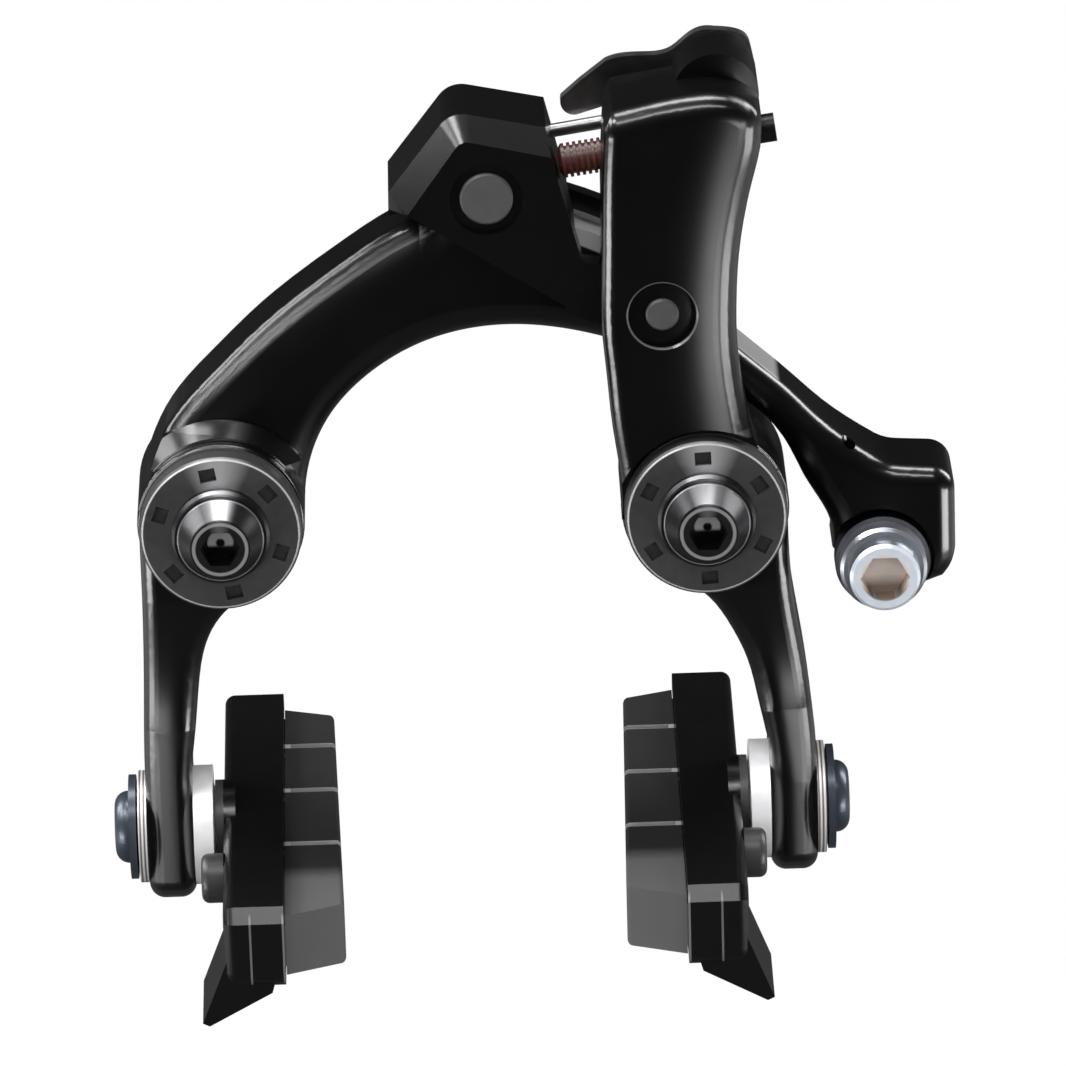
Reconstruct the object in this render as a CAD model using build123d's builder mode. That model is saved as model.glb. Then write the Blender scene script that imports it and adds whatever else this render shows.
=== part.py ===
from build123d import *
import math
import os

os.makedirs("parts", exist_ok=True)

# Frame: X to the right as the rider's mechanic sees the caliper, Y away from the viewer, Z up.
# The origin lies midway between the two mounting bolts, in the plane of the frame's bosses.
# A depth is a distance in front of that plane, so depth d is Y = -d.

# Mounting on the frame
boss_spacing = 56.0
bolt_r = 3.0
shank_r = 2.8
stud_length = 12.0
stud_chamfer = 0.6
bolt_hole_clearance = 0.2

# Pivot hubs
hub_r = 9.7
hub_length = 15.0
bush_r = 5.5
bush_flange_r = 9.0
bush_flange_t = 1.2
sleeve_wall = 0.8
running_clearance = 0.04
end_float = 0.1
rear_washer_t = 0.6
front_washer_t = 0.5
washer_inset = 0.25
nut_r = 9.35
nut_t = 2.6
nut_chamfer = 0.35
pocket_count = 6
pocket_ring_r = 7.3
pocket_width = 1.9
pocket_height = 1.6
pocket_depth = 1.1
first_pocket = {"left": 100, "right": 92}
bolt_washer_r = 5.65
bolt_washer_t = 1.1
bolt_flange_r = 5.3
bolt_flange_t = 0.8
bolt_cone_height = 2.7
bolt_step = 0.35
bolt_face_r = 3.45
bolt_rim_height = 0.5
bolt_hex = 4.0
bolt_socket_depth = 2.3

# Torsion springs, in the hubs and behind the right arm's head
hub_wire_r = 0.6
hub_coil_r = 7.5
hub_coil_pitch = 1.75
hub_coil_quarters = 12
spring_room = 0.6
leg_bend_r = 1.2
leg_hole_clearance = 0.15
leg_hold = 2.0
leg_tip_depth = 0.36
leg_room = 0.3
link_wire_r = 0.8
link_coil_r = 3.15
link_coil_pitch = 2.05
link_coil_quarters = 7
link_leg_slope = 8.4

# Left arm, the one that reaches over the tyre
arch_back = 2.6
arch_front = 11.2
arch_front_left = 12.6
tail_front = 13.4
track_r = 40.4
track_x = -0.6
track_z = -5.6
track_from_x = -3.0
track_to_x = 16.0
guide_r = 43.2
guide_t = 2.4
guide_from_x = 9.5
guide_to_x = 19.0
relief_depth = 3.0
relief_drop = 6.0
clamp_x = 48.5
clamp_z = -8.2
clamp_boss_r = 5.65
clamp_boss_front = 11.6
arch_edge_r = 2.2
arch_under_r = 3.4
tail_end = 8.6
tail_height = 10.8
tail_corner_r = 2.8
tail_foot_r = 5.6
relief_slope = 22.0
relief_length = 18.0
thread_clearance = 0.08
neck_r = 11.3
neck_from = 12.4
neck_to = 14.2
neck_above = 6.0
seal_groove_at = 15.0
seal_groove_width = 0.4
seal_groove_depth = 0.4
hub_edge_r = 0.5
nut_room = 0.5

# Cable clamp
cable_r = 0.8
cable_offset = 3.6
cable_sink = 0.6
clamp_plate_t = 2.6
clamp_plate_r = 5.55
clamp_collar_r = 5.05
clamp_collar_t = 2.6
clamp_head_r = 4.1
clamp_head_t = 2.9
clamp_hex = 5.0
clamp_socket_depth = 2.4
clamp_thread_r = 2.5
clamp_thread_length = 8.0
clamp_chamfer = 0.4

# Right arm, the upright one
upright_back = 11.6
upright_front = 19.0
head_back = 8.0
head_bottom = 38.6
upright_edge_r = 1.6
upright_soft_r = 2.8
rear_plate_from = 4.0
fork_back = 12.6
fork_front = 16.2
fork_r = 5.0
fork_bottom = 18.6
fork_top = 31.0
spring_cup_r = 4.95
spring_cup_front = 11.0
spring_pocket_r = 4.4
spring_pocket_depth = 8.9
spring_cup_x = 30.4
spring_cup_z = 48.2
spring_post_r = 1.9
spring_first_depth = 3.7
spring_leg_length = 20.9
spring_leg_room = 1.0
blind_room = 0.5
blind_depth = 5.0
plate_back = 0.6
plate_front = 2.2
plate_tip_r = 1.6
plate_screw_r = 1.2
plate_screw_head_r = 2.4
plate_screw_reach = 7.0
thread_room = 0.02
slot_cut = 0.7
slot_turn = 30

# Link block with its pins and roller
pin_a_bearing = 5.7365
pin_a_r = 1.5
roller_r = 3.32
cap_r = 3.05
cap_ring_r = 4.2
cap_recess = 0.7
pin_chamfer = 0.25
pin_inset = 0.1
roller_gap = 0.3
roller_width = 4.2
roller_front = 10.0
pin_b_x = 23.5
pin_b_z = 24.5
pin_b_r = 1.9
pin_b_ring_r = 3.9
pin_b_recess = 0.9
recess_chamfer = 0.25
lug_r = 4.2
lug_t = 3.2
lug_front = 16.0
block_back = 2.0
block_bevel_from = 13.4
block_front = 16.0
block_length = 30.0
block_clearance = 1.0
guide_clearance = 0.6
wall_back = 4.3
layer_gap = 0.4
slot_side = 0.2
slot_round = 0.6

# Centring screw
screw_r = 2.0
screw_depth = 11.5
screw_slope = 7.6
screw_x = 14.7
screw_z = 41.4
screw_tip_reach = 2.55
screw_tip_r = 1.3
screw_tip_length = 0.5
screw_tail_reach = 20.6
screw_stub_r = 1.65
screw_stub_length = 2.0
screw_hex = 2.0
screw_socket = 2.2
thread_pitch = 0.7
thread_depth = 0.35
thread_count = 7

# Brake shoes
leg_t = 5.5
leg_front = 15.4
leg_waist_front = 15.2
leg_waist_back = 6.0
leg_edge_r = 1.8
eye_r = 6.4
eye_drop = 2.2
shoe_depth = 10.0
slot_up = 3.6
slot_down = 0.8
shoe_bolt_z = {"left": -40.0, "right": -39.0}
leg_inner_from_hub = {"left": 4.7, "right": 6.9}
shoe_bolt_r = 3.0
slot_clearance = 0.35
spacer_r = 7.0
spacer_t = 2.3
ball_r = 5.2
ball_t = 1.2
cup_r = 6.6
cup_t = 1.0
seat_sphere_r = 12.0
seat_rim_r = 4.9
seat_gap = 0.12
rim_gap = 0.25
wide_hole_r = 3.3
close_hole_r = 3.05
dome_flange_r = 6.15
dome_flange_t = 1.1
dome_r = 4.25
dome_t = 1.75
dome_edge_r = 1.6
shoe_hex = 4.0
shoe_socket_depth = 1.9
holder_length = 55.0
holder_height = 10.6
holder_t = 7.0
holder_drop = 2.0
holder_pitch = 6.8
shoe_boss_r = 5.2
shoe_boss_t = 1.4
holder_wall = 2.4
holder_edge_r = 1.2
holder_end_r = 2.5
holder_bevel = 1.5
pad_length = 50.0
pad_height = 7.8
pad_t_far = 5.9
pad_t_near = 6.9
pad_far_slope = 1.8
pad_near_slope = 2.5
pad_top_step = 1.9
pad_base_height = 7.0
pad_base_t = 2.4
pad_neck_height = 5.4
pad_fit = 0.1
end_room = 0.2
bolt_end_room = 0.2
groove_width = 0.8
groove_floor = 0.7
groove_places = (9.1, 20.0, 32.9)
pad_edge_r = 0.6
pad_screw_r = 2.9
pad_screw_t = 2.6
pad_screw_edge_r = 0.9
pad_screw_socket = 1.6
pad_screw_shank_r = 1.25
pad_screw_place = 13.0
pad_screw_hex = 2.5
fin_from = 17.0
fin_length = 10.0
fin_outline = ((0.6, -2.4), (-2.8, -11.4), (-2.0, -11.8), (5.4, -7.6), (6.4, -4.0))

# Sizes that follow from the ones above
boss_x = boss_spacing / 2
cable_plane = Plane(origin=(clamp_x - cable_offset, cable_sink - clamp_boss_front, 0), z_dir=(0, 0, 1))
leg_inner_x = {"left": -boss_x - leg_inner_from_hub["left"], "right": boss_x + leg_inner_from_hub["right"]}
hub_back = bush_flange_t + rear_washer_t - end_float
hub_front = hub_back + hub_length
nut_back = hub_front + end_float + front_washer_t
nut_front = nut_back + nut_t
bolt_seat = nut_front + bolt_washer_t
bolt_front = bolt_seat + bolt_flange_t + bolt_cone_height + bolt_rim_height
sleeve_in_r = bush_r + running_clearance
sleeve_out_r = sleeve_in_r + sleeve_wall
cavity_r = hub_coil_r + hub_wire_r + spring_room
cavity_depth = hub_coil_quarters / 4 * hub_coil_pitch + 2 * hub_wire_r + 2 * spring_room
pin_a_reach = track_r + roller_gap + roller_r
pin_a_x = track_x + pin_a_reach * math.sin(math.radians(pin_a_bearing))
pin_a_z = track_z + pin_a_reach * math.cos(math.radians(pin_a_bearing))
guide_back = arch_back - 0.8
rim_plane_to_centre = math.sqrt(seat_sphere_r**2 - seat_rim_r**2)
hollow_rim_r = math.sqrt((seat_sphere_r + seat_gap) ** 2 - (rim_plane_to_centre + rim_gap) ** 2)
through = 60.0
forward = Vector(0, -1, 0)
rearward = Vector(0, 1, 0)


def front_plane(depth):
    """The upright plane at a depth, with X and Z as its own axes, facing the viewer."""
    return Plane.XZ.offset(depth)


def round_track(x, radius):
    """Height of a circle about the track's centre, above a given x."""
    return track_z + math.sqrt(radius**2 - (x - track_x) ** 2)


def on_arch(bearing, beyond):
    """Point at a bearing from the track's centre, clockwise from up, so far outside the track."""
    angle = math.radians(bearing)
    reach = track_r + beyond
    return (track_x + reach * math.sin(angle), track_z + reach * math.cos(angle))


def coil_points(x, z, radius, pitch, quarters, first_depth, first_angle):
    """Points and tangents of a coil about an axis along Y, a quarter turn apart, front end last."""
    points = []
    for step in range(quarters + 1):
        angle = math.radians(first_angle) + step * math.pi / 2
        depth = first_depth + pitch * step / 4
        place = Vector(x + radius * math.cos(angle), -depth, z + radius * math.sin(angle))
        along = Vector(-math.sin(angle), -pitch / (2 * math.pi * radius), math.cos(angle))
        points.append((place, along.normalized()))
    return points


def biarc(start, start_dir, end, end_dir):
    """Two arcs that join two points and meet both tangents, drawn into the line being built."""
    chord = end - start
    both = start_dir + end_dir
    a = 2 * (start_dir.dot(end_dir) - 1)
    b = -2 * chord.dot(both)
    c = chord.dot(chord)
    reach = (-b - math.sqrt(b * b - 4 * a * c)) / (2 * a)
    first = start + start_dir * reach
    last = end - end_dir * reach
    middle = (first + last) * 0.5
    TangentArc(start, middle, tangent=start_dir)
    TangentArc(middle, end, tangent=(last - first).normalized())


def dome_rise(radius, sphere_r):
    """Height of a sphere above the rim plane of the domed seats, at a radius from their axis."""
    return math.sqrt(sphere_r**2 - radius**2) - rim_plane_to_centre


def block_outline(points):
    """Closed outline about pin A with an arc through its first three points, drawn into the line."""
    places = [(pin_a_x + right, pin_a_z + up) for right, up in points]
    ThreePointArc(places[0], places[1], places[2])
    Polyline(*places[2:], places[0])


def leg_corner(place, along, direction, bend_r):
    """Where an arc that leaves a place in one direction has turned into another."""
    side = (direction - along * along.dot(direction)).normalized()
    turn = math.acos(along.dot(direction))
    return place + along * (bend_r * math.sin(turn)) + side * (bend_r * (1 - math.cos(turn)))


def least_gap(radius, pitch, quarters, wire_r):
    """Smallest space between turns of a coil, from points along its centre line."""
    steps = 9 * quarters
    points = []
    for step in range(steps + 1):
        angle = step * math.pi / 18
        points.append(Vector(radius * math.cos(angle), pitch * step / 36, radius * math.sin(angle)))
    gaps = []
    for i, here in enumerate(points):
        for there in points[i + 18 :]:
            gaps.append((there - here).length - 2 * wire_r)
    return min(gaps)


# Pivots: everything on each boss that stays still while the arm turns
leg_places = {}
bolt_pieces = []
washer_pieces = []
for side, name in ((-1, "left"), (1, "right")):
    axis_x = side * boss_x

    # Return spring, wound round the bearing sleeve, with one leg in the flange and one in the arm
    coil_start = hub_back + spring_room + hub_wire_r
    coil = coil_points(axis_x, 0, hub_coil_r, hub_coil_pitch, hub_coil_quarters, coil_start, 90)
    rear_place, rear_along = coil[0]
    front_place, front_along = coil[-1]
    rear_corner = leg_corner(rear_place, rear_along * -1, rearward, leg_bend_r)
    front_corner = leg_corner(front_place, front_along, forward, leg_bend_r)
    rear_tip = Vector(rear_corner.X, -leg_tip_depth, rear_corner.Z)
    front_tip = Vector(front_corner.X, -(hub_back + cavity_depth + leg_hold), front_corner.Z)
    leg_places[name] = front_tip
    with BuildPart() as return_spring:
        with BuildLine() as wire:
            Line(rear_tip, rear_corner)
            TangentArc(rear_corner, rear_place, tangent=forward)
            for (p, p_dir), (q, q_dir) in zip(coil, coil[1:]):
                biarc(p, p_dir, q, q_dir)
            TangentArc(front_place, front_corner, tangent=front_along)
            Line(front_corner, front_tip)
        with BuildSketch(Plane(origin=rear_tip, z_dir=forward)):
            Circle(hub_wire_r)
        sweep(path=wire.line)
    return_spring.part.label = f"return_spring_{name}"
    export_step(return_spring.part, f"parts/return_spring_{name}.step")

    # Pivot bush, a steel tube with a flange that sits on the frame's boss
    with BuildPart() as pivot_bush:
        with BuildSketch(front_plane(0)):
            with Locations((axis_x, 0)):
                Circle(bush_flange_r)
        extrude(amount=bush_flange_t)
        with BuildSketch(front_plane(0)):
            with Locations((axis_x, 0)):
                Circle(bush_r)
        extrude(amount=nut_front)
        with BuildSketch(front_plane(0)):
            with Locations((axis_x, 0)):
                Circle(bolt_r + bolt_hole_clearance)
        extrude(amount=nut_front, mode=Mode.SUBTRACT)
        with BuildSketch(front_plane(0)):
            with Locations((rear_tip.X, rear_tip.Z)):
                Circle(hub_wire_r + leg_hole_clearance)
        extrude(amount=bush_flange_t, mode=Mode.SUBTRACT)
    pivot_bush.part.label = f"pivot_bush_{name}"
    export_step(pivot_bush.part, f"parts/pivot_bush_{name}.step")

    # Thrust washers behind and in front of the hub
    with BuildPart() as rear_washer:
        with BuildSketch(front_plane(bush_flange_t)):
            with Locations((axis_x, 0)):
                Circle(sleeve_out_r)
                Circle(bush_r, mode=Mode.SUBTRACT)
        extrude(amount=rear_washer_t)
    rear_washer.part.label = f"rear_washer_{name}"
    export_step(rear_washer.part, f"parts/rear_washer_{name}.step")

    with BuildPart() as front_washer:
        with BuildSketch(front_plane(hub_front + end_float)):
            with Locations((axis_x, 0)):
                Circle(hub_r - washer_inset)
                Circle(bush_r, mode=Mode.SUBTRACT)
        extrude(amount=front_washer_t)
    front_washer.part.label = f"front_washer_{name}"
    export_step(front_washer.part, f"parts/front_washer_{name}.step")

    # Ring nut that takes up the play, with pockets for a pin spanner
    with BuildPart() as ring_nut:
        with BuildSketch(front_plane(nut_back)):
            with Locations((axis_x, 0)):
                Circle(nut_r)
        extrude(amount=nut_t)
        chamfer(ring_nut.edges().group_by(Axis.Y)[0], length=nut_chamfer)
        with BuildSketch(front_plane(nut_back)):
            with Locations((axis_x, 0)):
                Circle(bush_r)
        extrude(amount=nut_t, mode=Mode.SUBTRACT)
        with BuildSketch(front_plane(nut_front)):
            with Locations((axis_x, 0)):
                with PolarLocations(pocket_ring_r, pocket_count, start_angle=first_pocket[name]):
                    Rectangle(pocket_height, pocket_width)
        extrude(amount=-pocket_depth, mode=Mode.SUBTRACT)
    ring_nut.part.label = f"ring_nut_{name}"
    export_step(ring_nut.part, f"parts/ring_nut_{name}.step")

    # Washer and conical-headed bolt that clamp the bush to the frame
    with BuildPart() as bolt_washer:
        with BuildSketch(front_plane(nut_front)):
            with Locations((axis_x, 0)):
                Circle(bolt_washer_r)
        extrude(amount=bolt_washer_t)
        chamfer(bolt_washer.edges().group_by(Axis.Y)[0], length=nut_chamfer)
        with BuildSketch(front_plane(nut_front)):
            with Locations((axis_x, 0)):
                Circle(bolt_r + bolt_hole_clearance)
        extrude(amount=bolt_washer_t, mode=Mode.SUBTRACT)
    washer_pieces.append(bolt_washer.part)

    cone_front = bolt_seat + bolt_flange_t + bolt_cone_height
    with BuildPart() as mounting_bolt:
        with BuildSketch(front_plane(-stud_length)):
            with Locations((axis_x, 0)):
                Circle(bolt_r)
        extrude(amount=stud_length)
        chamfer(mounting_bolt.edges().group_by(Axis.Y)[-1], length=stud_chamfer)
        with BuildSketch(front_plane(0)):
            with Locations((axis_x, 0)):
                Circle(shank_r)
        extrude(amount=bolt_seat)
        with BuildSketch(front_plane(bolt_seat)):
            with Locations((axis_x, 0)):
                Circle(bolt_flange_r)
        extrude(amount=bolt_flange_t)
        with BuildSketch(front_plane(bolt_seat + bolt_flange_t)):
            with Locations((axis_x, 0)):
                Circle(bolt_flange_r - bolt_step)
        with BuildSketch(front_plane(cone_front)):
            with Locations((axis_x, 0)):
                Circle(bolt_face_r)
        loft()
        with BuildSketch(front_plane(cone_front)):
            with Locations((axis_x, 0)):
                Circle(bolt_face_r)
        extrude(amount=bolt_rim_height)
        with BuildSketch(front_plane(bolt_front)):
            with Locations((axis_x, 0)):
                RegularPolygon(bolt_hex / 2, 6, major_radius=False)
        extrude(amount=-bolt_socket_depth, mode=Mode.SUBTRACT)
    bolt_pieces.append(mounting_bolt.part)

    # Bearing sleeve, pressed into the arm and turning on the bush
    with BuildPart() as hub_sleeve:
        with BuildSketch(front_plane(hub_back + end_float)):
            with Locations((axis_x, 0)):
                Circle(sleeve_out_r)
                Circle(sleeve_in_r, mode=Mode.SUBTRACT)
        extrude(amount=hub_length - 2 * end_float)
    hub_sleeve.part.label = f"hub_sleeve_{name}"
    export_step(hub_sleeve.part, f"parts/hub_sleeve_{name}.step")

# The bolts are alike, and so are their washers, so each kind is one group of solids
with BuildPart() as mounting_bolts:
    for piece in bolt_pieces:
        add(piece)
mounting_bolts.part.label = "mounting_bolts"
export_step(mounting_bolts.part, "parts/mounting_bolts.step")

with BuildPart() as bolt_washers:
    for piece in washer_pieces:
        add(piece)
bolt_washers.part.label = "bolt_washers"
export_step(bolt_washers.part, "parts/bolt_washers.step")

hub_gap = least_gap(hub_coil_r, hub_coil_pitch, hub_coil_quarters, hub_wire_r)
print("return spring, least gap to itself", round(hub_gap, 2), "mm")

# Left arm: the arch over the tyre, with its tail out to the cable clamp. Bearings are in degrees,
# and the second number of each pair is how far the outline lies outside the track's circle.
arch_top = (
    (-73.5, -3.16),
    (-63.2, -3.64),
    (-50.5, -4.88),
    (-39.3, -5.01),
    (-29.0, -4.5),
    (-19.4, -3.3),
    (-10.3, -1.37),
)
tail_top = ((39.0, -0.79), (55.9, -0.29), (65.1, 1.92))
arch_underside = (
    (74.9, -0.52),
    (67.9, -2.18),
    (60.3, -4.93),
    (49.2, -7.93),
    (36.0, -10.62),
    (16.3, -13.31),
    (-6.1, -15.76),
    (-24.9, -17.58),
    (-42.3, -19.02),
    (-57.3, -20.43),
)
with BuildSketch(front_plane(arch_back)) as arch_outline:
    with BuildLine():
        track_start = (track_from_x, round_track(track_from_x, track_r))
        track_end = (track_to_x, round_track(track_to_x, track_r))
        track_middle_x = (track_from_x + track_to_x) / 2
        hub_left = (-boss_x - hub_r, -1.5)
        hub_right = (-boss_x + hub_r, 0.0)
        foot_left = (clamp_x - clamp_boss_r, clamp_z + 0.4)
        foot_right = (clamp_x + 4.5, clamp_z - 3.8)
        foot_corner = (clamp_x + tail_end - 1.5, clamp_z - 2.8)
        end_top = (clamp_x + tail_end - tail_corner_r, clamp_z + tail_height)
        end_side = (clamp_x + tail_end, clamp_z + tail_height - tail_corner_r)
        end_foot = (clamp_x + tail_end, clamp_z + 1.0)
        shelf = (clamp_x + 2.5, clamp_z + tail_height + 0.2)
        Spline(hub_left, *[on_arch(*point) for point in arch_top], track_start)
        ThreePointArc(track_start, (track_middle_x, round_track(track_middle_x, track_r)), track_end)
        Spline(
            track_end,
            *[on_arch(*point) for point in tail_top],
            (clamp_x - 5.5, clamp_z + 15.5),
            (clamp_x - 0.9, clamp_z + 12.2),
            shelf,
            tangents=((0.92, -0.38), (1, -0.05)),
        )
        Line(shelf, end_top)
        RadiusArc(end_top, end_side, tail_corner_r)
        Line(end_side, end_foot)
        RadiusArc(end_foot, foot_corner, tail_foot_r)
        Line(foot_corner, foot_right)
        Line(foot_right, (clamp_x, clamp_z))
        Line((clamp_x, clamp_z), foot_left)
        Spline(
            foot_left,
            (clamp_x - 5.9, clamp_z + 3.8),
            (clamp_x - 8.7, clamp_z + 9.0),
            *[on_arch(*point) for point in arch_underside],
            hub_right,
        )
        Line(hub_right, (-boss_x, -2.0))
        Line((-boss_x, -2.0), hub_left)
    make_face()
with BuildPart() as arch:
    extrude(arch_outline.sketch, amount=tail_front + 2 - arch_back, dir=forward)
    left_end = -boss_x - hub_r - 5
    right_end = clamp_x + tail_end + 5
    with BuildSketch(Plane.XY.offset(-through)):
        with BuildLine():
            Spline(
                (left_end, -arch_front_left),
                (-boss_x - 2, -arch_front_left + 0.3),
                (-8.0, -arch_front),
                (12.0, -arch_front),
                (34.0, -arch_front),
                (clamp_x - 1.5, -tail_front + 0.6),
                (right_end, -tail_front),
            )
            Line((right_end, -tail_front), (right_end, 0))
            Line((right_end, 0), (left_end, 0))
            Line((left_end, 0), (left_end, -arch_front_left))
        make_face()
    extrude(amount=2 * through, mode=Mode.INTERSECT)
    # The front rolls over softly below and with a tighter edge on top
    front = arch.faces().filter_by(lambda f: f.center().Y < 0.5 - arch_front).sort_by(SortBy.AREA)[-1]
    fillet(front.edges().sort_by(Edge.length)[-1], radius=arch_under_r)
    front = arch.faces().filter_by(lambda f: f.center().Y < 0.5 - arch_front).sort_by(SortBy.AREA)[-1]
    topside = front.edges().sort_by(Edge.length)[:-1]
    topside = topside.filter_by(lambda e: e.center().Z > 1 or e.center().X > clamp_x + tail_foot_r)
    fillet(topside, radius=arch_edge_r)


# Legs that carry the shoes: outlines seen from the front, as distances outward from the hub's axis
# and up from it, and one side outline for both
leg_outlines = {
    "left": (
        ((9.6, -2.0), (9.6, -10.0), (9.9, -22.0), (10.2, -33.0)),
        ((4.7, -33.0), (4.1, -27.0), (3.4, -20.8), (2.2, -15.4), (-1.0, -11.0), (-6.0, -8.0)),
    ),
    "right": (
        ((9.6, -2.0), (10.1, -12.1), (11.3, -20.0), (12.1, -27.0), (12.4, -33.0)),
        ((6.9, -33.0), (5.8, -25.5), (4.6, -20.2), (2.7, -15.8), (-0.4, -11.4), (-5.5, -8.0)),
    ),
}
lower_arms = {}
for side, name in ((-1, "left"), (1, "right")):
    axis_x = side * boss_x
    outer = [(axis_x + side * out, up) for out, up in leg_outlines[name][0]]
    inner = [(axis_x + side * out, up) for out, up in leg_outlines[name][1]]
    inner_x = leg_inner_x[name]
    outer_x = inner_x + side * leg_t
    eye_z = shoe_bolt_z[name]
    foot_z = eye_z - eye_drop
    bottom_z = foot_z - eye_r
    with BuildPart() as leg:
        with BuildSketch(front_plane(hub_back)):
            with BuildLine():
                Spline(*outer, tangents=((0, -1), (0, -1)))
                Line(outer[-1], (outer_x, bottom_z))
                Line((outer_x, bottom_z), (inner_x, bottom_z))
                Line((inner_x, bottom_z), inner[0])
                Spline(*inner, tangents=((0, 1), (-side * 0.8, 0.6)))
                Line(inner[-1], (axis_x, 0))
                Line((axis_x, 0), outer[0])
            make_face()
        extrude(amount=leg_front - hub_back)
        with BuildSketch(Plane.YZ):
            with BuildLine():
                Spline(
                    (-leg_front, 0),
                    (-leg_front, -10),
                    (-leg_waist_front, -24),
                    (-shoe_depth - eye_r, eye_z + slot_up),
                    tangents=((0, -1), (0, -1)),
                )
                Line((-shoe_depth - eye_r, eye_z + slot_up), (-shoe_depth - eye_r, foot_z))
                RadiusArc((-shoe_depth - eye_r, foot_z), (-shoe_depth + eye_r, foot_z), -eye_r)
                Line((-shoe_depth + eye_r, foot_z), (-shoe_depth + eye_r, eye_z + slot_up))
                Spline(
                    (-shoe_depth + eye_r, eye_z + slot_up),
                    (-leg_waist_back, -24),
                    (-hub_back, -9),
                    tangents=((0, 1), (0, 1)),
                )
                Line((-hub_back, -9), (-hub_back, 0))
                Line((-hub_back, 0), (-leg_front, 0))
            make_face()
        extrude(amount=through, both=True, mode=Mode.INTERSECT)
        forward_edges = leg.edges().filter_by(lambda e: e.center().Y < -leg_waist_front + 1)
        front_edges = forward_edges.filter_by(lambda e: e.center().Z < -4)
        foot_edges = leg.edges().filter_by(lambda e: e.center().Z < foot_z - eye_r / 2)
        fillet(front_edges + foot_edges, radius=leg_edge_r)
    # The arch steps down to its hub over a neck
    with BuildPart() as neck:
        with BuildSketch(front_plane(arch_back)):
            with Locations((axis_x, 0)):
                Circle(neck_r)
        extrude(amount=neck_from - arch_back)
        with BuildSketch(front_plane(neck_from)):
            with Locations((axis_x, 0)):
                Circle(neck_r)
        with BuildSketch(front_plane(neck_to)):
            with Locations((axis_x, 0)):
                Circle(hub_r)
        loft()
        with BuildSketch(front_plane(arch_back)):
            with Locations((axis_x, neck_above + neck_r / 2)):
                Rectangle(2 * neck_r, neck_r)
        extrude(amount=neck_to - arch_back, mode=Mode.INTERSECT)
        extrude(arch_outline.sketch, amount=neck_to - arch_back, dir=forward, mode=Mode.INTERSECT)
    with BuildPart() as hub:
        with BuildSketch(front_plane(hub_back)):
            with Locations((axis_x, 0)):
                Circle(hub_r)
        extrude(amount=hub_length)
        fillet(hub.edges().group_by(Axis.Y)[0], radius=hub_edge_r)
        with BuildSketch(front_plane(seal_groove_at)):
            with Locations((axis_x, 0)):
                Circle(hub_r + 1)
                Circle(hub_r - seal_groove_depth, mode=Mode.SUBTRACT)
        extrude(amount=seal_groove_width, mode=Mode.SUBTRACT)
        if name == "left":
            add(neck.part)
        add(leg.part)
    lower_arms[name] = hub.part

# Left arm: arch, hub, leg, clamp boss and guide rib, all one forging
with BuildPart() as left_upper:
    add(arch.part)
    with BuildSketch(front_plane(arch_back)):
        with Locations((clamp_x, clamp_z)):
            Circle(clamp_boss_r)
    extrude(amount=clamp_boss_front - arch_back)
    with BuildSketch(front_plane(guide_back)):
        with Locations((track_x, track_z)):
            Circle(guide_r)
            Circle(track_r - 3, mode=Mode.SUBTRACT)
        with Locations(((guide_from_x + guide_to_x) / 2, 30)):
            Rectangle(guide_to_x - guide_from_x, 30, mode=Mode.INTERSECT)
    extrude(amount=guide_t)
    # Relief on the front of the arch, where the right arm passes
    relief_angle = math.radians(relief_slope)
    relief_plane = Plane(
        origin=(guide_from_x, -arch_front, round_track(guide_from_x, track_r)),
        x_dir=forward,
        z_dir=(math.cos(relief_angle), 0, -math.sin(relief_angle)),
    )
    with BuildSketch(relief_plane):
        with BuildLine():
            Polyline((-relief_depth, -1.0), (1.5, -1.0), (1.5, relief_drop), (0, relief_drop), close=True)
        make_face()
    extrude(amount=relief_length, mode=Mode.SUBTRACT)
    # Seat for the clamp plate, hole for its bolt, half of the cable's groove
    with BuildSketch(front_plane(clamp_boss_front)):
        with Locations((clamp_x, clamp_z)):
            Circle(clamp_boss_r + layer_gap)
    extrude(amount=tail_front, mode=Mode.SUBTRACT)
    with BuildSketch(front_plane(clamp_boss_front)):
        with Locations((clamp_x, clamp_z)):
            Circle(clamp_thread_r + thread_clearance)
    extrude(amount=-clamp_boss_front, mode=Mode.SUBTRACT)
    with BuildSketch(cable_plane):
        Circle(cable_r)
    extrude(amount=through, both=True, mode=Mode.SUBTRACT)

# Cable clamp: a plate with a collar, and the bolt that presses it on the cable
with BuildPart() as clamp_plate:
    with BuildSketch(front_plane(clamp_boss_front)):
        with Locations((clamp_x, clamp_z)):
            Circle(clamp_plate_r)
    extrude(amount=clamp_plate_t)
    with BuildSketch(front_plane(clamp_boss_front + clamp_plate_t)):
        with Locations((clamp_x, clamp_z)):
            Circle(clamp_collar_r)
    extrude(amount=clamp_collar_t)
    chamfer(clamp_plate.edges().group_by(Axis.Y)[0], length=clamp_chamfer)
    with BuildSketch(front_plane(clamp_boss_front)):
        with Locations((clamp_x, clamp_z)):
            Circle(clamp_thread_r + thread_clearance)
    extrude(amount=through, mode=Mode.SUBTRACT)
    with BuildSketch(cable_plane):
        Circle(cable_r)
    extrude(amount=through, both=True, mode=Mode.SUBTRACT)
clamp_plate.part.label = "clamp_plate"
export_step(clamp_plate.part, "parts/clamp_plate.step")

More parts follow.
